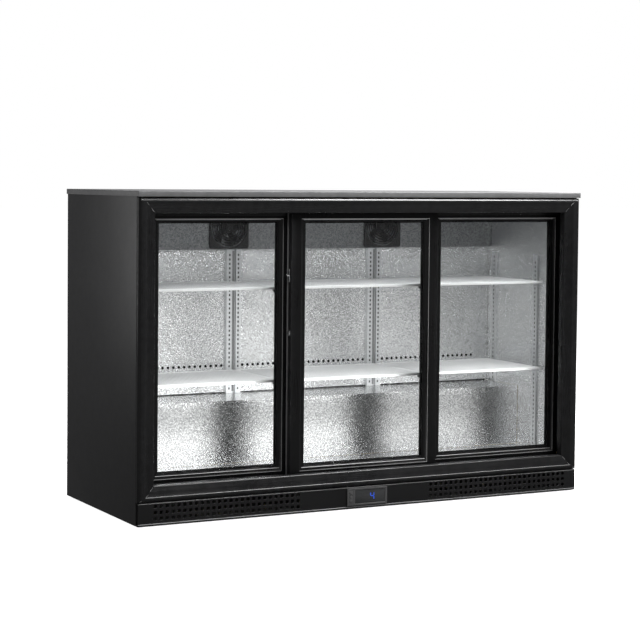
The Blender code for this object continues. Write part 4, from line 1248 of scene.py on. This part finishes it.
def lights():
    """Softboxes round the fridge, the lamp inside, and weak panels behind the doors."""
    area_light("softbox_front", (0.2, -3.6, 3.4), (0.0, -0.2, 0.4), (3.2, 1.2), 90.0)
    area_light("softbox_left", (-1.60, 0.55, 0.80), (-0.68, -0.2, 0.45), (0.8, 0.9), 4.5)
    area_light("softbox_high", (1.35, -0.95, 2.9), (0.0, -0.26, 0.83), (2.3, 0.9), 180.0)
    area_light("softbox_back", (2.4, 2.6, 4.2), (0.0, 0.3, 0.4), (3.0, 1.6), 110.0)

    x0, y0, z0, x1, y1, _ = corners("led_strip")
    y, z = (y0 + y1) / 2, z0 - 0.002
    size, cool = ((x1 - x0) * 0.98, 0.012), (0.97, 0.985, 1.0)
    area_light("lamp_inside", (0.0, y, z), (0.0, y + 0.12, z - 0.5), size, 0.80, cool)
    bottom = corners("liner_floor")[5]
    shelf_low, shelf_high = (corners(f"shelf_{level}_left")[5] for level in LEVELS)
    spans = {
        "floor": (bottom + 0.003, bottom + 0.060), "low": (bottom + 0.002, bottom + 0.170),
        "step": (bottom + 0.180, shelf_low - 0.008), "middle": (shelf_low + 0.004, shelf_high - 0.02),
        "high": (shelf_high + 0.004, shelf_high + 0.07),
    }
    y = corners("shelf_lower_left")[1] - 0.013
    for label in DOORS:
        x0, _, _, x1, _, _ = corners(f"door_glass_{label}")
        x, wide = (x0 + x1) / 2 - 0.028, (x1 - x0) * 0.88
        for name, (low, high) in spans.items():
            z = (low + high) / 2
            power = FILL_WATTS[name] * FILL_SHARES[label]
            area_light(f"fill_{name}_{label}", (x, y, z), (x, y + 1.0, z + 0.05), (wide, high - low), power)


def camera():
    """The viewing angle: from the front left, at worktop height, on a long lens."""
    place = Vector((-2.4084, -4.5209, 0.8906))
    yaw, pitch, roll = radians(27.813), radians(2.488), radians(0.535)
    ahead = Vector((sin(yaw) * cos(pitch), cos(yaw) * cos(pitch), -sin(pitch)))
    right = ahead.cross(Vector((0, 0, 1))).normalized()
    up = right.cross(ahead)
    tilted_right = right * cos(roll) + up * sin(roll)
    tilted_up = up * cos(roll) - right * sin(roll)
    turn = Matrix((tilted_right, tilted_up, -ahead)).transposed().to_4x4()
    data = bpy.data.cameras.new("camera")
    data.sensor_width = 36.0
    data.lens = 103.2
    data.shift_y = -0.10
    data.clip_end = 200.0
    eye = bpy.data.objects.new("camera", data)
    eye.matrix_world = Matrix.Translation(place) @ turn
    bpy.context.scene.collection.objects.link(eye)
    bpy.context.scene.camera = eye


def main():
    camera()
    floor()
    room()
    lights()
    bpy.context.scene.view_settings.view_transform = "Standard"
    worktop()
    for side, label in SIDES:
        side_panel(side, label)
    rear()
    base()
    surround()
    for label in DOORS:
        door(label)
    lock()
    liner()
    duct()
    for _, label in SIDES:
        pilaster(label)
        post(label)
    for level in LEVELS:
        for label in DOORS:
            shelf(level, label)
    cold_air()
    machine()
    plinth()
    controller()


main()
